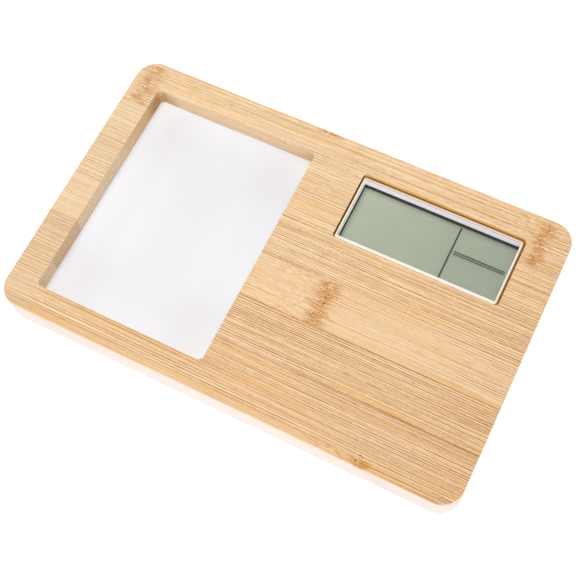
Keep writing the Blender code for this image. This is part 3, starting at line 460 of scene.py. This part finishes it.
    def with_ends_and_pocket(self, colour, below_top):
        """End grain, and the pocket's walls: greyed, partly the routed wood's duller tone and partly painted
        shade, golden at the left, and darkened low in one corner with painted shade.
        """
        finish, x, y, z = self.finish, self.x, self.y, self.z
        pocket_x, pocket_y = np.array(size_of("memo_backing_card")[2]) / MM
        length, width = (side / MM for side in pocket_size())
        pocket = outline_distance(x, y, (pocket_x, pocket_y), length, width, POCKET_CORNER_RADIUS / MM)
        pocket_floor = (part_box("memo_backing_card")[0].z - PAD_DROP) / MM
        walled = finish.ease(abs(pocket), 0.3, 0.1) * below_top * (z > pocket_floor - LEVEL_SLACK_MM)
        pocket_end = finish.ease(abs(abs(x - pocket_x) - length / 2), 0.3, 0.1) * walled
        outer_end = finish.ease(abs(x - self.middle[0]) - self.length / 2, -0.4, -0.1)
        ends = (outer_end + pocket_end).least(1) * below_top
        dust = finish.noise(finish.join(x / 3.0, y / 1.4, z / 1.4), 1.0, 3.0, 0.7)
        colour = finish.blend(ends * 0.85, colour, self.end_grain(outer_end, dust))
        # The pocket's walls greyed: the routed wood's duller tone, and painted shade of the recess.
        colour = finish.blend(walled * 0.45, colour, linear(206, 181, 154))
        golden = pocket_end * finish.ease(y, 12.0, 40.0) * (x < pocket_x)
        colour = finish.blend(golden * 0.5, colour, linear(206, 160, 98))
        # Painted shade: dark brown low in the pocket's back-left corner, faint on the wood round it.
        corner = (pocket_x - length / 2 + 1.0, pocket_y + width / 2 - 4.0, 7.0)
        away = finish.distance(finish.join(x, y, self.depth), corner)
        corner_painted_shade = finish.ease(away + (dust - 0.5) * 9.0, 11.0, 1.5)
        return finish.blend(corner_painted_shade * (walled * 0.48 + 0.15), colour, linear(150, 100, 50))

    def with_window_edge(self, colour, below_top):
        """The window's walls: browned by the cutter, with painted shade that darkens the left wall and
        painted light that pales the back wall lower down and the front wall.
        """
        finish, x, y, depth = self.finish, self.x, self.y, self.depth
        length = WINDOW_LENGTH / MM
        width = WINDOW_WIDTH / MM
        window_x, window_y = window_middle() / MM
        window = outline_distance(x, y, (window_x, window_y), length, width, WINDOW_CORNER_RADIUS / MM)
        above_shoulder = self.z > SHOULDER_LEVEL / MM + LEVEL_SLACK_MM
        edge = finish.ease(abs(window), 0.3, 0.1) * below_top * above_shoulder
        from_front = finish.ease(y - (window_y - width / 2), 0.3, 1.2)
        from_left = finish.ease(x - (window_x - length / 2), 0.2, 1.2)
        # Painted light makes the back wall paler and more golden lower down, where the gap is in shade;
        # painted shade deepens the left wall's brown; painted light makes the front wall nearly white.
        brown = finish.blend(finish.ease(depth, 0.6, 1.5), linear(220, 164, 94), linear(255, 206, 112))
        brown = finish.blend(finish.ease(depth, 1.7, 2.4), brown, linear(255, 192, 78))
        brown = finish.blend(from_left, linear(142, 80, 14), brown)
        return finish.blend(edge * 0.85, colour, finish.blend(from_front, linear(252, 236, 210), brown))

    def with_pale_sides(self, colour, below_top):
        """The outer sides, painted paler as if brightly lit, and nearly white at the front."""
        finish = self.finish
        radius = BOARD_CORNER_RADIUS / MM
        outer = outline_distance(self.x, self.y, self.middle, self.length, self.width, radius)
        side = finish.ease(outer, -0.35, -0.05) * below_top
        front = self.middle[1] - self.width / 2
        # Painted light: the sides paler, most at the front.
        side_painted_light = finish.ease(self.y, front + 14.0, front + 2.0, 0.34, 0.72)
        return finish.blend(side * side_painted_light, colour, linear(211, 210, 213))


def bamboo():
    """The board's wood, from its fibres to its cut faces."""
    wood = Bamboo()
    finish = wood.finish
    pit = wood.pits()
    below_top = finish.ease(wood.depth, 0.05, 0.3)
    colour = wood.with_knuckles(wood.plain_colour(), pit)
    colour = wood.with_ends_and_pocket(colour, below_top)
    colour = wood.with_window_edge(colour, below_top)
    colour = wood.with_pale_sides(colour, below_top)
    finish.feed("Base Color", finish.scale_colour(colour, WOOD_EXPOSURE))
    finish.feed("Roughness", finish.ease(wood.streak + wood.hair * 0.3, -0.15, 0.15, 0.66, 0.54).most(pit))
    finish.bump(wood.streak * 0.5 + wood.hair * 0.4 - wood.bold * 0.12 - pit * 0.2, 0.3, 0.05 * MM)
    return finish.material


def paper():
    """Uncoated sheets: a faint cloud of pulp and a soft tooth, with painted light that makes them paler
    towards the edges, the corners and the front.
    """
    finish = Finish("paper", Specular_IOR_Level=0.2, Roughness=0.9)
    place = finish.millimetres()
    x, y, _ = finish.split(place)
    length, width, middle, _, _ = (np.array(size) / MM for size in size_of("memo_sheets"))
    inside = outline_distance(x, y, middle, length, width, POCKET_CORNER_RADIUS / MM) * -1.0
    cloud = finish.noise(place, 0.35, 4.0, 0.6)
    tooth = finish.noise(place, 6.0, 3.0, 0.6)
    colour = finish.blend(cloud, linear(227, 226, 228), linear(231, 230, 232))
    # Painted light: paler and cooler towards the edges, against the pocket's warm shade.
    colour = finish.blend(finish.ease(inside, 34.0, 17.0) * 0.5, colour, linear(240, 239, 241))
    colour = finish.blend(finish.ease(inside, 14.0, 0.0) * 0.75, colour, linear(235, 240, 250))
    # Painted light in the corners, most in the back ones.
    from_end = length / 2 - abs(x - middle[0])
    from_side = width / 2 - abs(y - middle[1])
    corner_painted_light = finish.ease(from_end, 14.0, 1.0) * finish.ease(from_side, 24.0, 1.0)
    corner_painted_light = corner_painted_light * finish.ease(y, -25.0, 30.0, 0.2, 0.7)
    colour = finish.blend(corner_painted_light, colour, linear(247, 251, 255))
    # Painted light: a little paler towards the front, darker towards the back.
    finish.feed("Base Color", finish.scale_colour(colour, finish.ease(y, 55.0, -55.0, 0.965, 1.035)))
    finish.bump(tooth, 0.15, 0.03 * MM)
    return finish.material


def plastic_grain(finish, place):
    """The faint cloud in moulded plastic, and the fine grit of its spark-eroded skin."""
    return finish.noise(place, 0.12, 3.0, 0.5), finish.noise(place, 7.0, 2.0, 0.6)


def moulded(name, low, high):
    """Moulded plastic: a barely mottled colour under a fine grit."""
    finish = Finish(name, IOR=1.5)
    cloud, grit = plastic_grain(finish, finish.millimetres())
    finish.feed("Base Color", finish.blend(cloud, low, high))
    finish.feed("Roughness", finish.ease(grit + cloud * 0.4, 0.45, 0.9, 0.29, 0.44))
    finish.bump(grit, 0.18, 0.03 * MM)
    return finish.material


def sight_frame():
    """The housing's white plastic: cool white, with painted warm light from the wood on the rim that faces up
    and on the left inner wall, and painted shade on the back of the rim, under its inner edge and dark in its
    groove.
    """
    finish = Finish("sight frame plastic", IOR=1.5, Roughness=0.34)
    place = finish.millimetres()
    x, y, level = finish.split(place)
    rim_top = size_of("front_housing")[4] / MM
    left, right, front, back = opening_of_sight_frame()
    below = rim_top - level
    outside = (left - x + 0.15).most(x - right + 0.1).most(front - y).most(y - back)
    cloud, grit = plastic_grain(finish, place)
    white = finish.blend(cloud, linear(247, 241, 255), linear(250, 244, 255))
    # Painted light: the left inner wall warmed by light bounced from the wood.
    white = finish.blend(finish.ease(x - left, 0.5, 0.3) * 0.6, white, linear(250, 236, 220))
    # Painted light on the rim that faces up: warm from the wood's bounce, golden at the right, brightest at
    # the left, and painted shade darkens it at the back.
    rim = finish.ease(outside, 0.02, 0.2) * finish.ease(below, 0.5, 0.2)
    rim_painted_light = finish.blend(finish.ease(x - right, -0.3, 0.0), linear(245, 236, 217), linear(247, 235, 202))
    rim_painted_light = finish.blend(finish.ease(left - x, -0.3, 0.0), rim_painted_light, linear(255, 250, 230))
    rim_painted_light = finish.blend(finish.ease(y - back, 0.0, 0.3), rim_painted_light, linear(214, 188, 152))
    colour = finish.blend(rim, white, rim_painted_light)
    # Painted shade: a grey line on the inner walls just below the rim's inner edge.
    crease_painted_shade = finish.ease(outside, 0.2, 0.05) * finish.ease(below, 0.02, 0.12) * finish.ease(below, 1.4, 0.5)
    colour = finish.blend(crease_painted_shade * 0.9, colour, linear(192, 180, 168))
    # Painted shade, dark brown with the wood's warm bounce, on the frame's outer edge, the groove's floor and
    # the outer part of the rim's left top, but for the front, where light reaches into the groove
    groove = (left - x + 0.6).most(x - right).most(y - back + 0.45)
    shaded = finish.ease(groove, 1.02, 1.16) * finish.ease(y - front, -1.0, -0.6)
    shaded = shaded * (finish.ease(below, 0.01, 0.08) + finish.ease(left - x, 0.4, 0.5)).least(1)
    shade = finish.blend(finish.ease(x, left, right), linear(130, 78, 4), linear(172, 112, 20))
    finish.feed("Base Color", finish.blend(shaded, colour, shade))
    finish.bump(grit, 0.15, 0.03 * MM)
    return finish.material


def rubber(name, shade):
    """Dull rubber with dust in a pebbled skin."""
    finish = Finish(name, Specular_IOR_Level=0.3)
    place = finish.millimetres()
    pebble = finish.cells(place, 3.5)
    dust = finish.noise(place, 0.8, 4.0, 0.65)
    colour = finish.blend(finish.ease(dust, 0.35, 0.8), linear(*shade), linear(*(v + 26 for v in shade)))
    finish.feed("Base Color", colour)
    finish.feed("Roughness", finish.ease(dust, 0.3, 0.7, 0.62, 0.88))
    finish.bump(pebble, 0.25, 0.05 * MM)
    return finish.material


def metal(name, shade, dark_shade, roughness, lay=(1.0, 1.0, 1.0)):
    """Plated or rolled metal: fine marks drawn out along the lay, with a little tarnish."""
    finish = Finish(name, Metallic=1.0)
    place = finish.millimetres()
    x, y, z = finish.split(place)
    marks = finish.noise(finish.join(x * lay[0], y * lay[1], z * lay[2]), 4.0, 3.0, 0.6)
    tarnish = finish.noise(place, 0.45, 4.0, 0.6)
    share = finish.ease(tarnish + (marks - 0.5) * 0.25, 0.35, 0.75)
    finish.feed("Base Color", finish.blend(share, linear(*shade), linear(*dark_shade)))
    finish.feed("Roughness", finish.ease(marks, 0.3, 0.7, roughness, roughness + 0.16))
    finish.bump(marks, 0.12, 0.02 * MM)
    return finish.material


def clear_glass():
    """Thin display glass: nearly all seen through, with a faint green tint and wipe marks."""
    finish = Finish("display glass", IOR=1.5)
    haze = finish.noise(finish.millimetres(), 0.2, 3.0, 0.5)
    finish.feed("Base Color", finish.blend(haze, linear(176, 196, 184), linear(188, 204, 192)))
    finish.feed("Roughness", finish.ease(haze, 0.3, 0.8, 0.03, 0.08))
    finish.feed("Alpha", finish.ease(haze, 0.2, 0.8, 0.025, 0.045))
    return finish.material


def polarizing_film():
    """The display's face: a neutral film, mostly seen through, with an anti-glare surface."""
    finish = Finish("polarizing film", IOR=1.5)
    haze = finish.noise(finish.millimetres(), 0.15, 3.0, 0.5)
    finish.feed("Base Color", finish.blend(haze, linear(110, 116, 102), linear(120, 126, 112)))
    finish.feed("Roughness", finish.ease(haze, 0.3, 0.8, 0.42, 0.5))
    finish.feed("Alpha", finish.ease(haze, 0.2, 0.8, 0.12, 0.15))
    return finish.material


def reflector(opening):
    """The grey-green film behind the display, with a black surround outside the sight frame's opening that
    reaches a little inside it as painted shade, painted shadow towards the back and painted light at its left
    and ends.
    """
    finish = Finish("reflector film", Specular_IOR_Level=0.2)
    place = finish.millimetres()
    x, y, _ = finish.split(place)
    left, right, front, back = opening
    # The black surround reaches a little inside the opening: painted shade under the frame's lip. The film
    # darkens over its last millimetres at the back: the frame's painted shadow.
    margin = (x - left + 0.1).least(right - x + 0.3).least(y - front + 0.5).least(back - y)
    inside = finish.ease(margin, 0.28, 0.36) * finish.ease(back - y, 0.2, 2.4, 0.72, 1.0)
    grain = finish.noise(place, 9.0, 2.0, 0.6)
    cloud = finish.noise(place, 0.05, 2.0, 0.5)
    grey = finish.blend(grain * 0.5 + cloud * 0.5, linear(184, 193, 171), linear(194, 202, 181))
    # Painted light: brighter towards the left and at both ends, against the shade of the frame's walls.
    end_painted_light = finish.ease((x - left).least(right - x + 1.0), 3.5, 0.8, 0.0, 0.07)
    grey = finish.scale_colour(grey, finish.ease(x, left - 8.0, right - 20.0, 1.24, 1.0) + end_painted_light)
    finish.feed("Base Color", finish.blend(inside, linear(14, 14, 14), grey))
    finish.feed("Roughness", finish.ease(grain, 0.3, 0.7, 0.5, 0.65))
    finish.bump(grain, 0.1, 0.02 * MM)
    return finish.material


def dark_segments():
    """The switched-on liquid crystal, also drawn as the painted reflection of a divider line: nearly black,
    with a slight blue cast.
    """
    finish = Finish("dark segments", Roughness=0.6, Specular_IOR_Level=0.1)
    place = finish.millimetres()
    grain = finish.noise(place, 12.0, 2.0, 0.5)
    finish.feed("Base Color", finish.blend(grain, linear(8, 9, 10), linear(14, 15, 16)))
    return finish.material


def circuit():
    """Solder mask over glass weave, with lighter copper runs under it."""
    finish = Finish("solder mask", Roughness=0.35, Specular_IOR_Level=0.5)
    place = finish.millimetres()
    x, y, z = finish.split(place)
    pitch_mm = 1.27
    row = (x / pitch_mm).floor()
    cell = finish.join(row, (y / pitch_mm / 4).floor(), 0.0)
    run = abs(x / pitch_mm - row - 0.5) < 0.2
    run = run * (finish.draw(cell) > 0.45)
    weave = finish.noise(finish.join(x * 3.0, y * 3.0, z), 1.0, 3.0, 0.6)
    mask = finish.blend(weave, linear(8, 74, 40), linear(16, 92, 52))
    finish.feed("Base Color", finish.blend(run * 0.8, mask, linear(42, 128, 74)))
    finish.bump(run * 0.6 + weave * 0.3, 0.3, 0.04 * MM)
    return finish.material


def speckled(name, first, second, scale, roughness):
    """A matt body whose two tones mix in small grains: card, foam, ceramic and the like."""
    finish = Finish(name)
    place = finish.millimetres()
    grain = finish.noise(place, scale, 5.0, 0.65)
    share = finish.ease(grain, 0.35, 0.65)
    finish.feed("Base Color", finish.blend(share, linear(*first), linear(*second)))
    finish.feed("Roughness", finish.ease(grain, 0.3, 0.7, roughness - 0.06, roughness + 0.06))
    finish.bump(grain, 0.3, 0.05 * MM)
    return finish.material


def rounded(length, width, radius, place, level, steps=CORNER_STEPS):
    """A rounded rectangle at one level, counterclockwise from above, as an (n, 3) array.

    Each corner is a quarter circle about a point that lies one radius inside both sides.
    """
    quarter = np.linspace(0, QUARTER_TURN, steps + 1)
    angles = (np.arange(4)[:, None] * QUARTER_TURN + quarter).ravel()
    signs = np.repeat([[1, 1], [-1, 1], [-1, -1], [1, -1]], steps + 1, axis=0)
    centres = signs * (np.array([length, width]) / 2 - radius)
    outline = centres + radius * np.column_stack([np.cos(angles), np.sin(angles)]) + np.array(place)
    return np.column_stack([outline, np.full(len(outline), level)])


class Shell:
    """Collects the faces of one piece."""

    def __init__(self):
        self.points = []
        self.faces = []
        self.count = 0

    def add_points(self, points):
        first = self.count
        self.points.append(points)
        self.count += len(points)
        return first

    def strip(self, rings):
        """Quads between neighbouring closed rings: row i, column j to row i + 1, column j + 1."""
        rings = np.asarray(rings)
        rows, columns = rings.shape[:2]
        first = self.add_points(rings.reshape(-1, 3))
        row, column = np.meshgrid(np.arange(rows - 1), np.arange(columns), indexing="ij")
        following = (column + 1) % columns
        here = first + row * columns
        there = here + columns
        quads = np.stack([here + column, here + following, there + following, there + column], axis=-1)
        self.faces.extend(quads.reshape(-1, 4).tolist())

    def cap(self, loops, up=True):
        """A flat face inside the first loop and outside the others."""
        loops = [np.asarray(loop) for loop in loops]
        first = self.add_points(np.concatenate(loops))
        triangles = tessellate_polygon([[Vector(p) for p in loop] for loop in loops])
        corners = np.concatenate(loops)
        for a, b, c in triangles:
            normal = np.cross(corners[b] - corners[a], corners[c] - corners[a])
            order = 1 if (normal[2] > 0) == up else -1
            self.faces.append([first + a, first + b, first + c][::order])

    def piece(self, name, material, body, replaces=()):
        """Makes the object: doubles merged, smooth but for its crisp edges, and riding on its body."""
        mesh = bpy.data.meshes.new(name)
        mesh.from_pydata(np.concatenate(self.points).tolist(), [], self.faces)
        shape = bmesh.new()
        shape.from_mesh(mesh)
        bmesh.ops.remove_doubles(shape, verts=shape.verts, dist=MERGE_DISTANCE)
        bmesh.ops.dissolve_degenerate(shape, edges=shape.edges, dist=MERGE_DISTANCE)
        shape.to_mesh(mesh)
        shape.free()
        mesh.shade_smooth()
        mesh.set_sharp_from_angle(angle=math.radians(CRISP_EDGE_DEG))
        mesh.materials.append(material)
        made = bpy.data.objects.new(name, mesh)
        bpy.context.scene.collection.objects.link(made)
        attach(made, body)
        if replaces:
            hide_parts(*replaces)


def size_of(node):
    """Length, width, middle in plan, lowest and highest level of a node."""
    low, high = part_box(node)
    return high.x - low.x, high.y - low.y, ((low.x + high.x) / 2, (low.y + high.y) / 2), low.z, high.z


def pocket_size():
    """Length and width of the memo pocket."""
    length, width, _, _, _ = size_of("memo_backing_card")
    return length + 2 * PAD_CLEARANCE, width + 2 * PAD_CLEARANCE


def window_middle():
    """Middle in plan of the clock's window."""
    module_middle = size_of("front_housing")[2]
    return np.array([module_middle[0] + WINDOW_SHIFT, module_middle[1]])


def edge_rings(length, width, radius, place, level, edge, inward=1):
    """Rings that roll over an upper edge, from the wall to the flat and one margin further.

    At angle a the ring lies edge * (1 - cos a) in from the wall and edge * (1 - sin a) below the flat.
    """
    rings = []
    for angle in np.linspace(0, QUARTER_TURN, EDGE_STEPS + 1):
        inset = inward * edge * (1 - math.cos(angle))
        height = level - edge * (1 - math.sin(angle))
        rings.append(rounded(length - 2 * inset, width - 2 * inset, radius - inset, place, height))
    inset = inward * (edge + FLAT_MARGIN)
    rings.append(rounded(length - 2 * inset, width - 2 * inset, radius - inset, place, level))
    return rings


def rebate(node, radius, level):
    """Outline at one level of the room that the board leaves round a node of the clock."""
    length, width, _, _, _ = size_of(node)
    play = REBATE_CLEARANCE
    middle = size_of("front_housing")[2]
    return rounded(length + 2 * play, width + 2 * play, radius + play, middle, level)


def wooden_board(material):
    """The board: a rolled outer edge, the pocket and the window as walls that drop from rolled edges."""
    length, width, middle, underside, top = size_of("bamboo_board")
    wood = Shell()
    outer_top = edge_rings(length, width, BOARD_CORNER_RADIUS, middle, top, BOARD_EDGE_RADIUS)
    outer_bottom = [ring * (1, 1, -1) + (0, 0, top + underside) for ring in reversed(outer_top)]
    wood.strip(outer_bottom + outer_top)

    _, _, pad_middle, card_bottom, _ = size_of("memo_backing_card")
    pocket = (*pocket_size(), POCKET_CORNER_RADIUS, pad_middle)
    pocket_rim = edge_rings(*pocket, top, POCKET_EDGE_RADIUS, -1)
    pocket_foot = rounded(*pocket, card_bottom - PAD_DROP)
    wood.strip(list(reversed(pocket_rim)) + [pocket_foot])
    wood.cap([pocket_foot])

    cover_seat = size_of("front_housing")[3]
    window = (WINDOW_LENGTH, WINDOW_WIDTH, WINDOW_CORNER_RADIUS, window_middle())
    window_rim = edge_rings(*window, top, WINDOW_EDGE_RADIUS, -1)
    hole = [
        rounded(*window, SHOULDER_LEVEL),
        rebate("front_housing", HOUSING_CORNER_RADIUS, SHOULDER_LEVEL),
        rebate("front_housing", HOUSING_CORNER_RADIUS, cover_seat),
        rebate("rear_cover", COVER_CORNER_RADIUS, cover_seat),
        rebate("rear_cover", COVER_CORNER_RADIUS, underside),
    ]
    wood.strip(list(reversed(window_rim)) + hole)
    wood.cap([outer_top[-1], pocket_rim[-1], window_rim[-1]])
    wood.cap([outer_bottom[0], hole[-1]], up=False)
    wood.piece("board_wood", material, "board", ["bamboo_board"])


def sheet_stack(material):
    """The loose-edged block of sheets: each sheet a thin slab, shifted a hair by its own sine."""
    length, width, middle, low, high = size_of("memo_sheets")
    sheets = 21
    pitch = (high - low) / sheets
    gap = 0.012 * MM
    slip = 0.03 * MM
    spread = PAD_CLEARANCE - SHEET_CLEARANCE - slip
    length += 2 * spread
    width += 2 * spread
    radius = POCKET_CORNER_RADIUS - SHEET_CLEARANCE
    stack = Shell()
    for number in range(sheets):
        shift = (slip * math.sin(2.4 * number), slip * math.sin(3.7 * number + 1))
        place = (middle[0] + shift[0], middle[1] + shift[1])
        base = low + number * pitch
        lower = rounded(length, width, radius, place, base)
        upper = rounded(length, width, radius, place, base + pitch - gap)
        stack.strip([lower, upper])
        stack.cap([upper])
        stack.cap([lower], up=False)
    stack.piece("memo_sheet_stack", material, "memo_pad", ["memo_sheets"])


def turned(name, profile, place, material, body, replaces):
    """A turned piece: radius and height of each profile point carried round the axis at place.

    The profile starts and ends on the axis, and its outer side is passed from below upwards.
    """
    profile = np.array(profile)
    angles = np.linspace(0, FULL_TURN, TURNED_STEPS, endpoint=False)
    rings = np.stack(
        [
            place[0] + profile[:, :1] * np.cos(angles),
            place[1] + profile[:, :1] * np.sin(angles),
            np.repeat(profile[:, 1:], TURNED_STEPS, axis=1),
        ],
        axis=-1,
    )
    made = Shell()
    made.strip(rings)
    made.piece(name, material, body, replaces)


def rolled(radius, level, edge, steps=EDGE_STEPS, upper=True):
    """Profile points of a rounded edge: from the wall inwards if upper, and out to the wall if not."""
    angles = np.linspace(0, QUARTER_TURN, steps + 1)
    side = radius - edge * (1 - np.cos(angles))
    sign = 1 if upper else -1
    height = level - sign * edge * (1 - np.sin(angles))
    points = np.column_stack([side, height])
    return points.tolist() if upper else points[::-1].tolist()


def feet(material):
    """Rubber feet: a rounded tread with a shallow dish, and a flat back."""
    dish_depth = 0.25 * MM
    dish_share = 0.45
    tread_share = 0.6
    tread_edge = 0.4 * MM
    back_edge = 0.1 * MM
    for corner in ("front_left", "back_left", "front_right", "back_right"):
        node = f"rubber_foot_{corner}"
        length, _, middle, low, high = size_of(node)
        radius = length / 2
        dish = low + dish_depth
        profile = [[0, dish], [radius * dish_share, dish], [radius * tread_share, low]]
        profile += rolled(radius, low, tread_edge, upper=False)
        profile += rolled(radius, high, back_edge)
        profile += [[0, high]]
        turned(f"foot_{corner}", profile, middle, material, "board", [node])


def push_buttons(material):
    """Buttons: a flange inside the cover, a straight stem and a dished, rounded cap."""
    stem = 2.3 * MM
    cap_edge = 0.3 * MM
    dish_radius = 0.72 * stem
    dish_depth = 0.15 * MM
    shares = np.linspace(0, 1, 7)
    flange_thickness = 0.4 * MM
    flange_edge = 0.05 * MM
    for name in ("mode", "set", "up", "down"):
        node = f"button_{name}"
        length, _, middle, low, high = size_of(node)
        flange = length / 2
        flange_level = high - flange_thickness
        cap = np.column_stack([dish_radius * shares, low + dish_depth * (1 - shares**2)])
        profile = cap.tolist() + rolled(stem, low, cap_edge, upper=False)
        profile += [[stem, flange_level]]
        profile += rolled(flange, flange_level, flange_edge, 2, upper=False)
        profile += [[flange, high], [0, high]]
        turned(f"push_button_{name}", profile, middle, material, f"{name}_button", [node])


def cross(arm, half_width, place, level):
    """A cross at one level, counterclockwise from above: three corners turned by each quarter."""
    corners = np.array([(arm, -half_width), (arm, half_width), (half_width, half_width)])
    angles = QUARTER_TURN * np.arange(4)
    turns = [np.array([(math.cos(a), math.sin(a)), (-math.sin(a), math.cos(a))]) for a in angles]
    outline = np.concatenate([corners @ turn for turn in turns]) + np.array(place)
    return np.column_stack([outline, np.full(len(outline), level)])


def screws(material):
    """Countersunk screws: a flat head with a tapered cross recess, and a shank with ridges."""
    head_edge = 0.08 * MM
    head_depth = 0.9 * MM
    neck = 1.0 * MM
    thread_start = 1.2 * MM
    ridge_spacing = 0.3 * MM
    ridge_depth = 0.18 * MM
    point_length = 0.8 * MM
    point_radius = 0.5 * MM
    recess_depth = 0.6 * MM
    for number in (1, 2, 3, 4):
        node = f"cover_screw_{number}"
        length, _, middle, low, high = size_of(node)
        profile = rolled(length / 2, low, head_edge, upper=False) + [[neck, low + head_depth]]
        ridges = np.arange(low + thread_start, high - point_length, ridge_spacing)
        profile += [[neck - (k % 2) * ridge_depth, ridge] for k, ridge in enumerate(ridges)]
        profile += [[point_radius, high]]
        rings = [rounded(2 * radius, 2 * radius, radius, middle, level) for radius, level in profile]
        recess_edge = cross(1.15 * MM, 0.26 * MM, middle, low)
        recess_floor = cross(0.6 * MM, 0.17 * MM, middle, low + recess_depth)
        made = Shell()
        made.strip(rings)
        made.strip([recess_floor, recess_edge])
        made.cap([rings[0], recess_edge], up=False)
        made.cap([recess_floor], up=False)
        made.cap([rings[-1]])
        made.piece(f"countersunk_screw_{number}", material, "board", [node])


def display_layers(film, glass):
    """The film and the two glasses: slabs with only one flat face, so that few layers lie in the light."""
    corner_radius = 0.15 * MM
    layers = (
        ("display_film_layer", "lcd_front_polarizer", film, "display_film", True),
        ("display_front_glass", "lcd_front_glass", glass, "glass", True),
        ("display_rear_glass", "lcd_rear_glass", glass, "glass", False),
    )
    for name, node, material, slot, faces_up in layers:
        length, width, middle, low, high = size_of(node)
        lower = rounded(length, width, corner_radius, middle, low, 3)
        upper = rounded(length, width, corner_radius, middle, high, 3)
        slab = Shell()
        slab.strip([lower, upper])
        slab.cap([upper if faces_up else lower], up=faces_up)
        slab.piece(name, material, "board", [node])


def display_lines(material):
    """The dark divider lines of the display, each a thin bar in the liquid crystal's gap; the front one of
    the two horizontal bars is a painted reflection of the other.
    """
    upper_glass_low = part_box("lcd_front_glass")[0].z
    lower_glass_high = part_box("lcd_rear_glass")[1].z
    middle = (upper_glass_low + lower_glass_high) / 2
    half = (upper_glass_low - lower_glass_high) / 4
    corner_radius = 0.03 * MM
    lines = Shell()
    for (left, front), (right, back) in DIVIDER_LINES_AND_PAINTED_REFLECTION_MM:
        size = ((right - left) * MM, (back - front) * MM)
        place = ((right + left) / 2 * MM, (back + front) / 2 * MM)
        lower = rounded(*size, corner_radius, place, middle - half, 2)
        upper = rounded(*size, corner_radius, place, middle + half, 2)
        lines.strip([lower, upper])
        lines.cap([upper])
        lines.cap([lower], up=False)
    lines.piece("display_lines_and_painted_reflection", material, "board")


def dress(material, *nodes):
    """Gives CAD nodes their finish."""
    for name in nodes:
        node = NODES[name]
        for slot in node.material_slots:
            slot.material = material
        if not node.material_slots:
            node.data.materials.append(material)


def opening_of_sight_frame():
    """Left, right, front and back of the display's opening, in millimetres."""
    _, _, middle, _, _ = size_of("front_housing")
    half_length = 34.4
    half_width = 14.05
    offset = 0.2
    x = middle[0] / MM
    y = middle[1] / MM + offset
    return x - half_length, x + half_length, y - half_width, y + half_width


def lamp(name, place, aim, size, power):
    """A square soft light that faces its aim."""
    light = bpy.data.lights.new(name, "AREA")
    light.size = size
    light.energy = power
    made = bpy.data.objects.new(name, light)
    bpy.context.scene.collection.objects.link(made)
    made.location = place
    made.rotation_euler = (Vector(aim) - Vector(place)).to_track_quat("-Z", "Y").to_euler()


def studio():
    """A pale floor that glows a little and rises far off, a white room and five soft lights."""
    white = (1, 1, 1, 1)
    scene = bpy.context.scene
    scene.view_settings.view_transform = "Standard"
    world = bpy.data.worlds.new("white room")
    world.use_nodes = True
    room = world.node_tree.nodes["Background"].inputs
    room["Color"].default_value = white
    room["Strength"].default_value = 0.46
    scene.world = world

    grey = (0.7, 0.7, 0.7, 1)
    glow = {"Emission_Color": white, "Emission_Strength": 0.6}
    finish = Finish("studio floor", Roughness=0.8, Specular_IOR_Level=0.1, Base_Color=grey, **glow)
    corners = np.array([(-1, -1, 0), (1, -1, 0), (1, 1, 0), (-1, 1, 0)])
    flat_half = 5.0
    rim_half = 8.0
    rim_height = 1.4
    points = np.concatenate([corners * flat_half, corners * rim_half + (0, 0, rim_height)])
    faces = [(0, 1, 2, 3), (1, 0, 4, 5), (2, 1, 5, 6), (3, 2, 6, 7), (0, 3, 7, 4)]
    mesh = bpy.data.meshes.new("studio_floor")
    mesh.from_pydata(points.tolist(), [], faces)
    mesh.materials.append(finish.material)
    floor = bpy.data.objects.new("studio_floor", mesh)
    scene.collection.objects.link(floor)

    for soft_box in SOFT_BOXES:
        lamp(*soft_box)


def camera():
    """The photograph's camera."""
    scene = bpy.context.scene
    data = bpy.data.cameras.new("camera")
    data.sensor_width = SENSOR_WIDTH_MM
    data.lens = CAMERA_FOCAL_PIXELS * SENSOR_WIDTH_MM / IMAGE_SIDE_PIXELS
    made = bpy.data.objects.new("camera", data)
    scene.collection.objects.link(made)
    right = Vector(CAMERA_RIGHT).normalized()
    up = Vector(CAMERA_UP).normalized()
    axes = Matrix((right, up, right.cross(up))).transposed()
    made.matrix_world = Matrix.Translation(CAMERA_PLACE) @ axes.to_4x4()
    scene.camera = made


def main():
    camera()
    studio()
    white = moulded("white plastic", linear(238, 236, 243), linear(242, 240, 246))
    steel = metal("nickel plated steel", (214, 212, 206), (186, 182, 172), 0.22, (0.25, 1.0, 1.0))
    wooden_board(bamboo())
    sheet_stack(paper())
    feet(rubber("black rubber", (26, 26, 27)))
    push_buttons(white)
    screws(steel)
    display_lines(dark_segments())
    dress(sight_frame(), "front_housing")
    dress(white, "rear_cover", "battery_door")
    dress(speckled("grey card", (150, 146, 140), (120, 116, 110), 3.0, 0.9), "memo_backing_card")
    dress(speckled("foam tape", (226, 222, 212), (206, 202, 190), 6.0, 0.9), "mounting_tape")
    display_layers(polarizing_film(), clear_glass())
    dress(reflector(opening_of_sight_frame()), "lcd_reflector")
    dress(rubber("striped contact rubber", (40, 40, 42)), "elastomer_strip")
    dress(circuit(), "circuit_board")
    dress(speckled("cast resin", (18, 18, 19), (30, 30, 32), 1.5, 0.3), "chip_resin_cap")
    dress(speckled("fired ceramic", (222, 216, 196), (204, 196, 172), 4.0, 0.5), "buzzer_ceramic")
    dress(speckled("capacitor ceramic", (196, 164, 116), (176, 144, 98), 4.0, 0.5), "smoothing_capacitor")
    dress(metal("rolled brass", (226, 190, 116), (198, 156, 84), 0.25, (0.2, 1.0, 1.0)), "buzzer_disc")
    steel_nodes = ["quartz_crystal", "coin_cell", "contact_negative", "contact_positive"]
    steel_nodes += ["buzzer_spring_ceramic", "buzzer_spring_disc"]
    steel_nodes += [f"switch_{name}" for name in ("mode", "set", "up", "down")]
    dress(steel, *steel_nodes)


main()
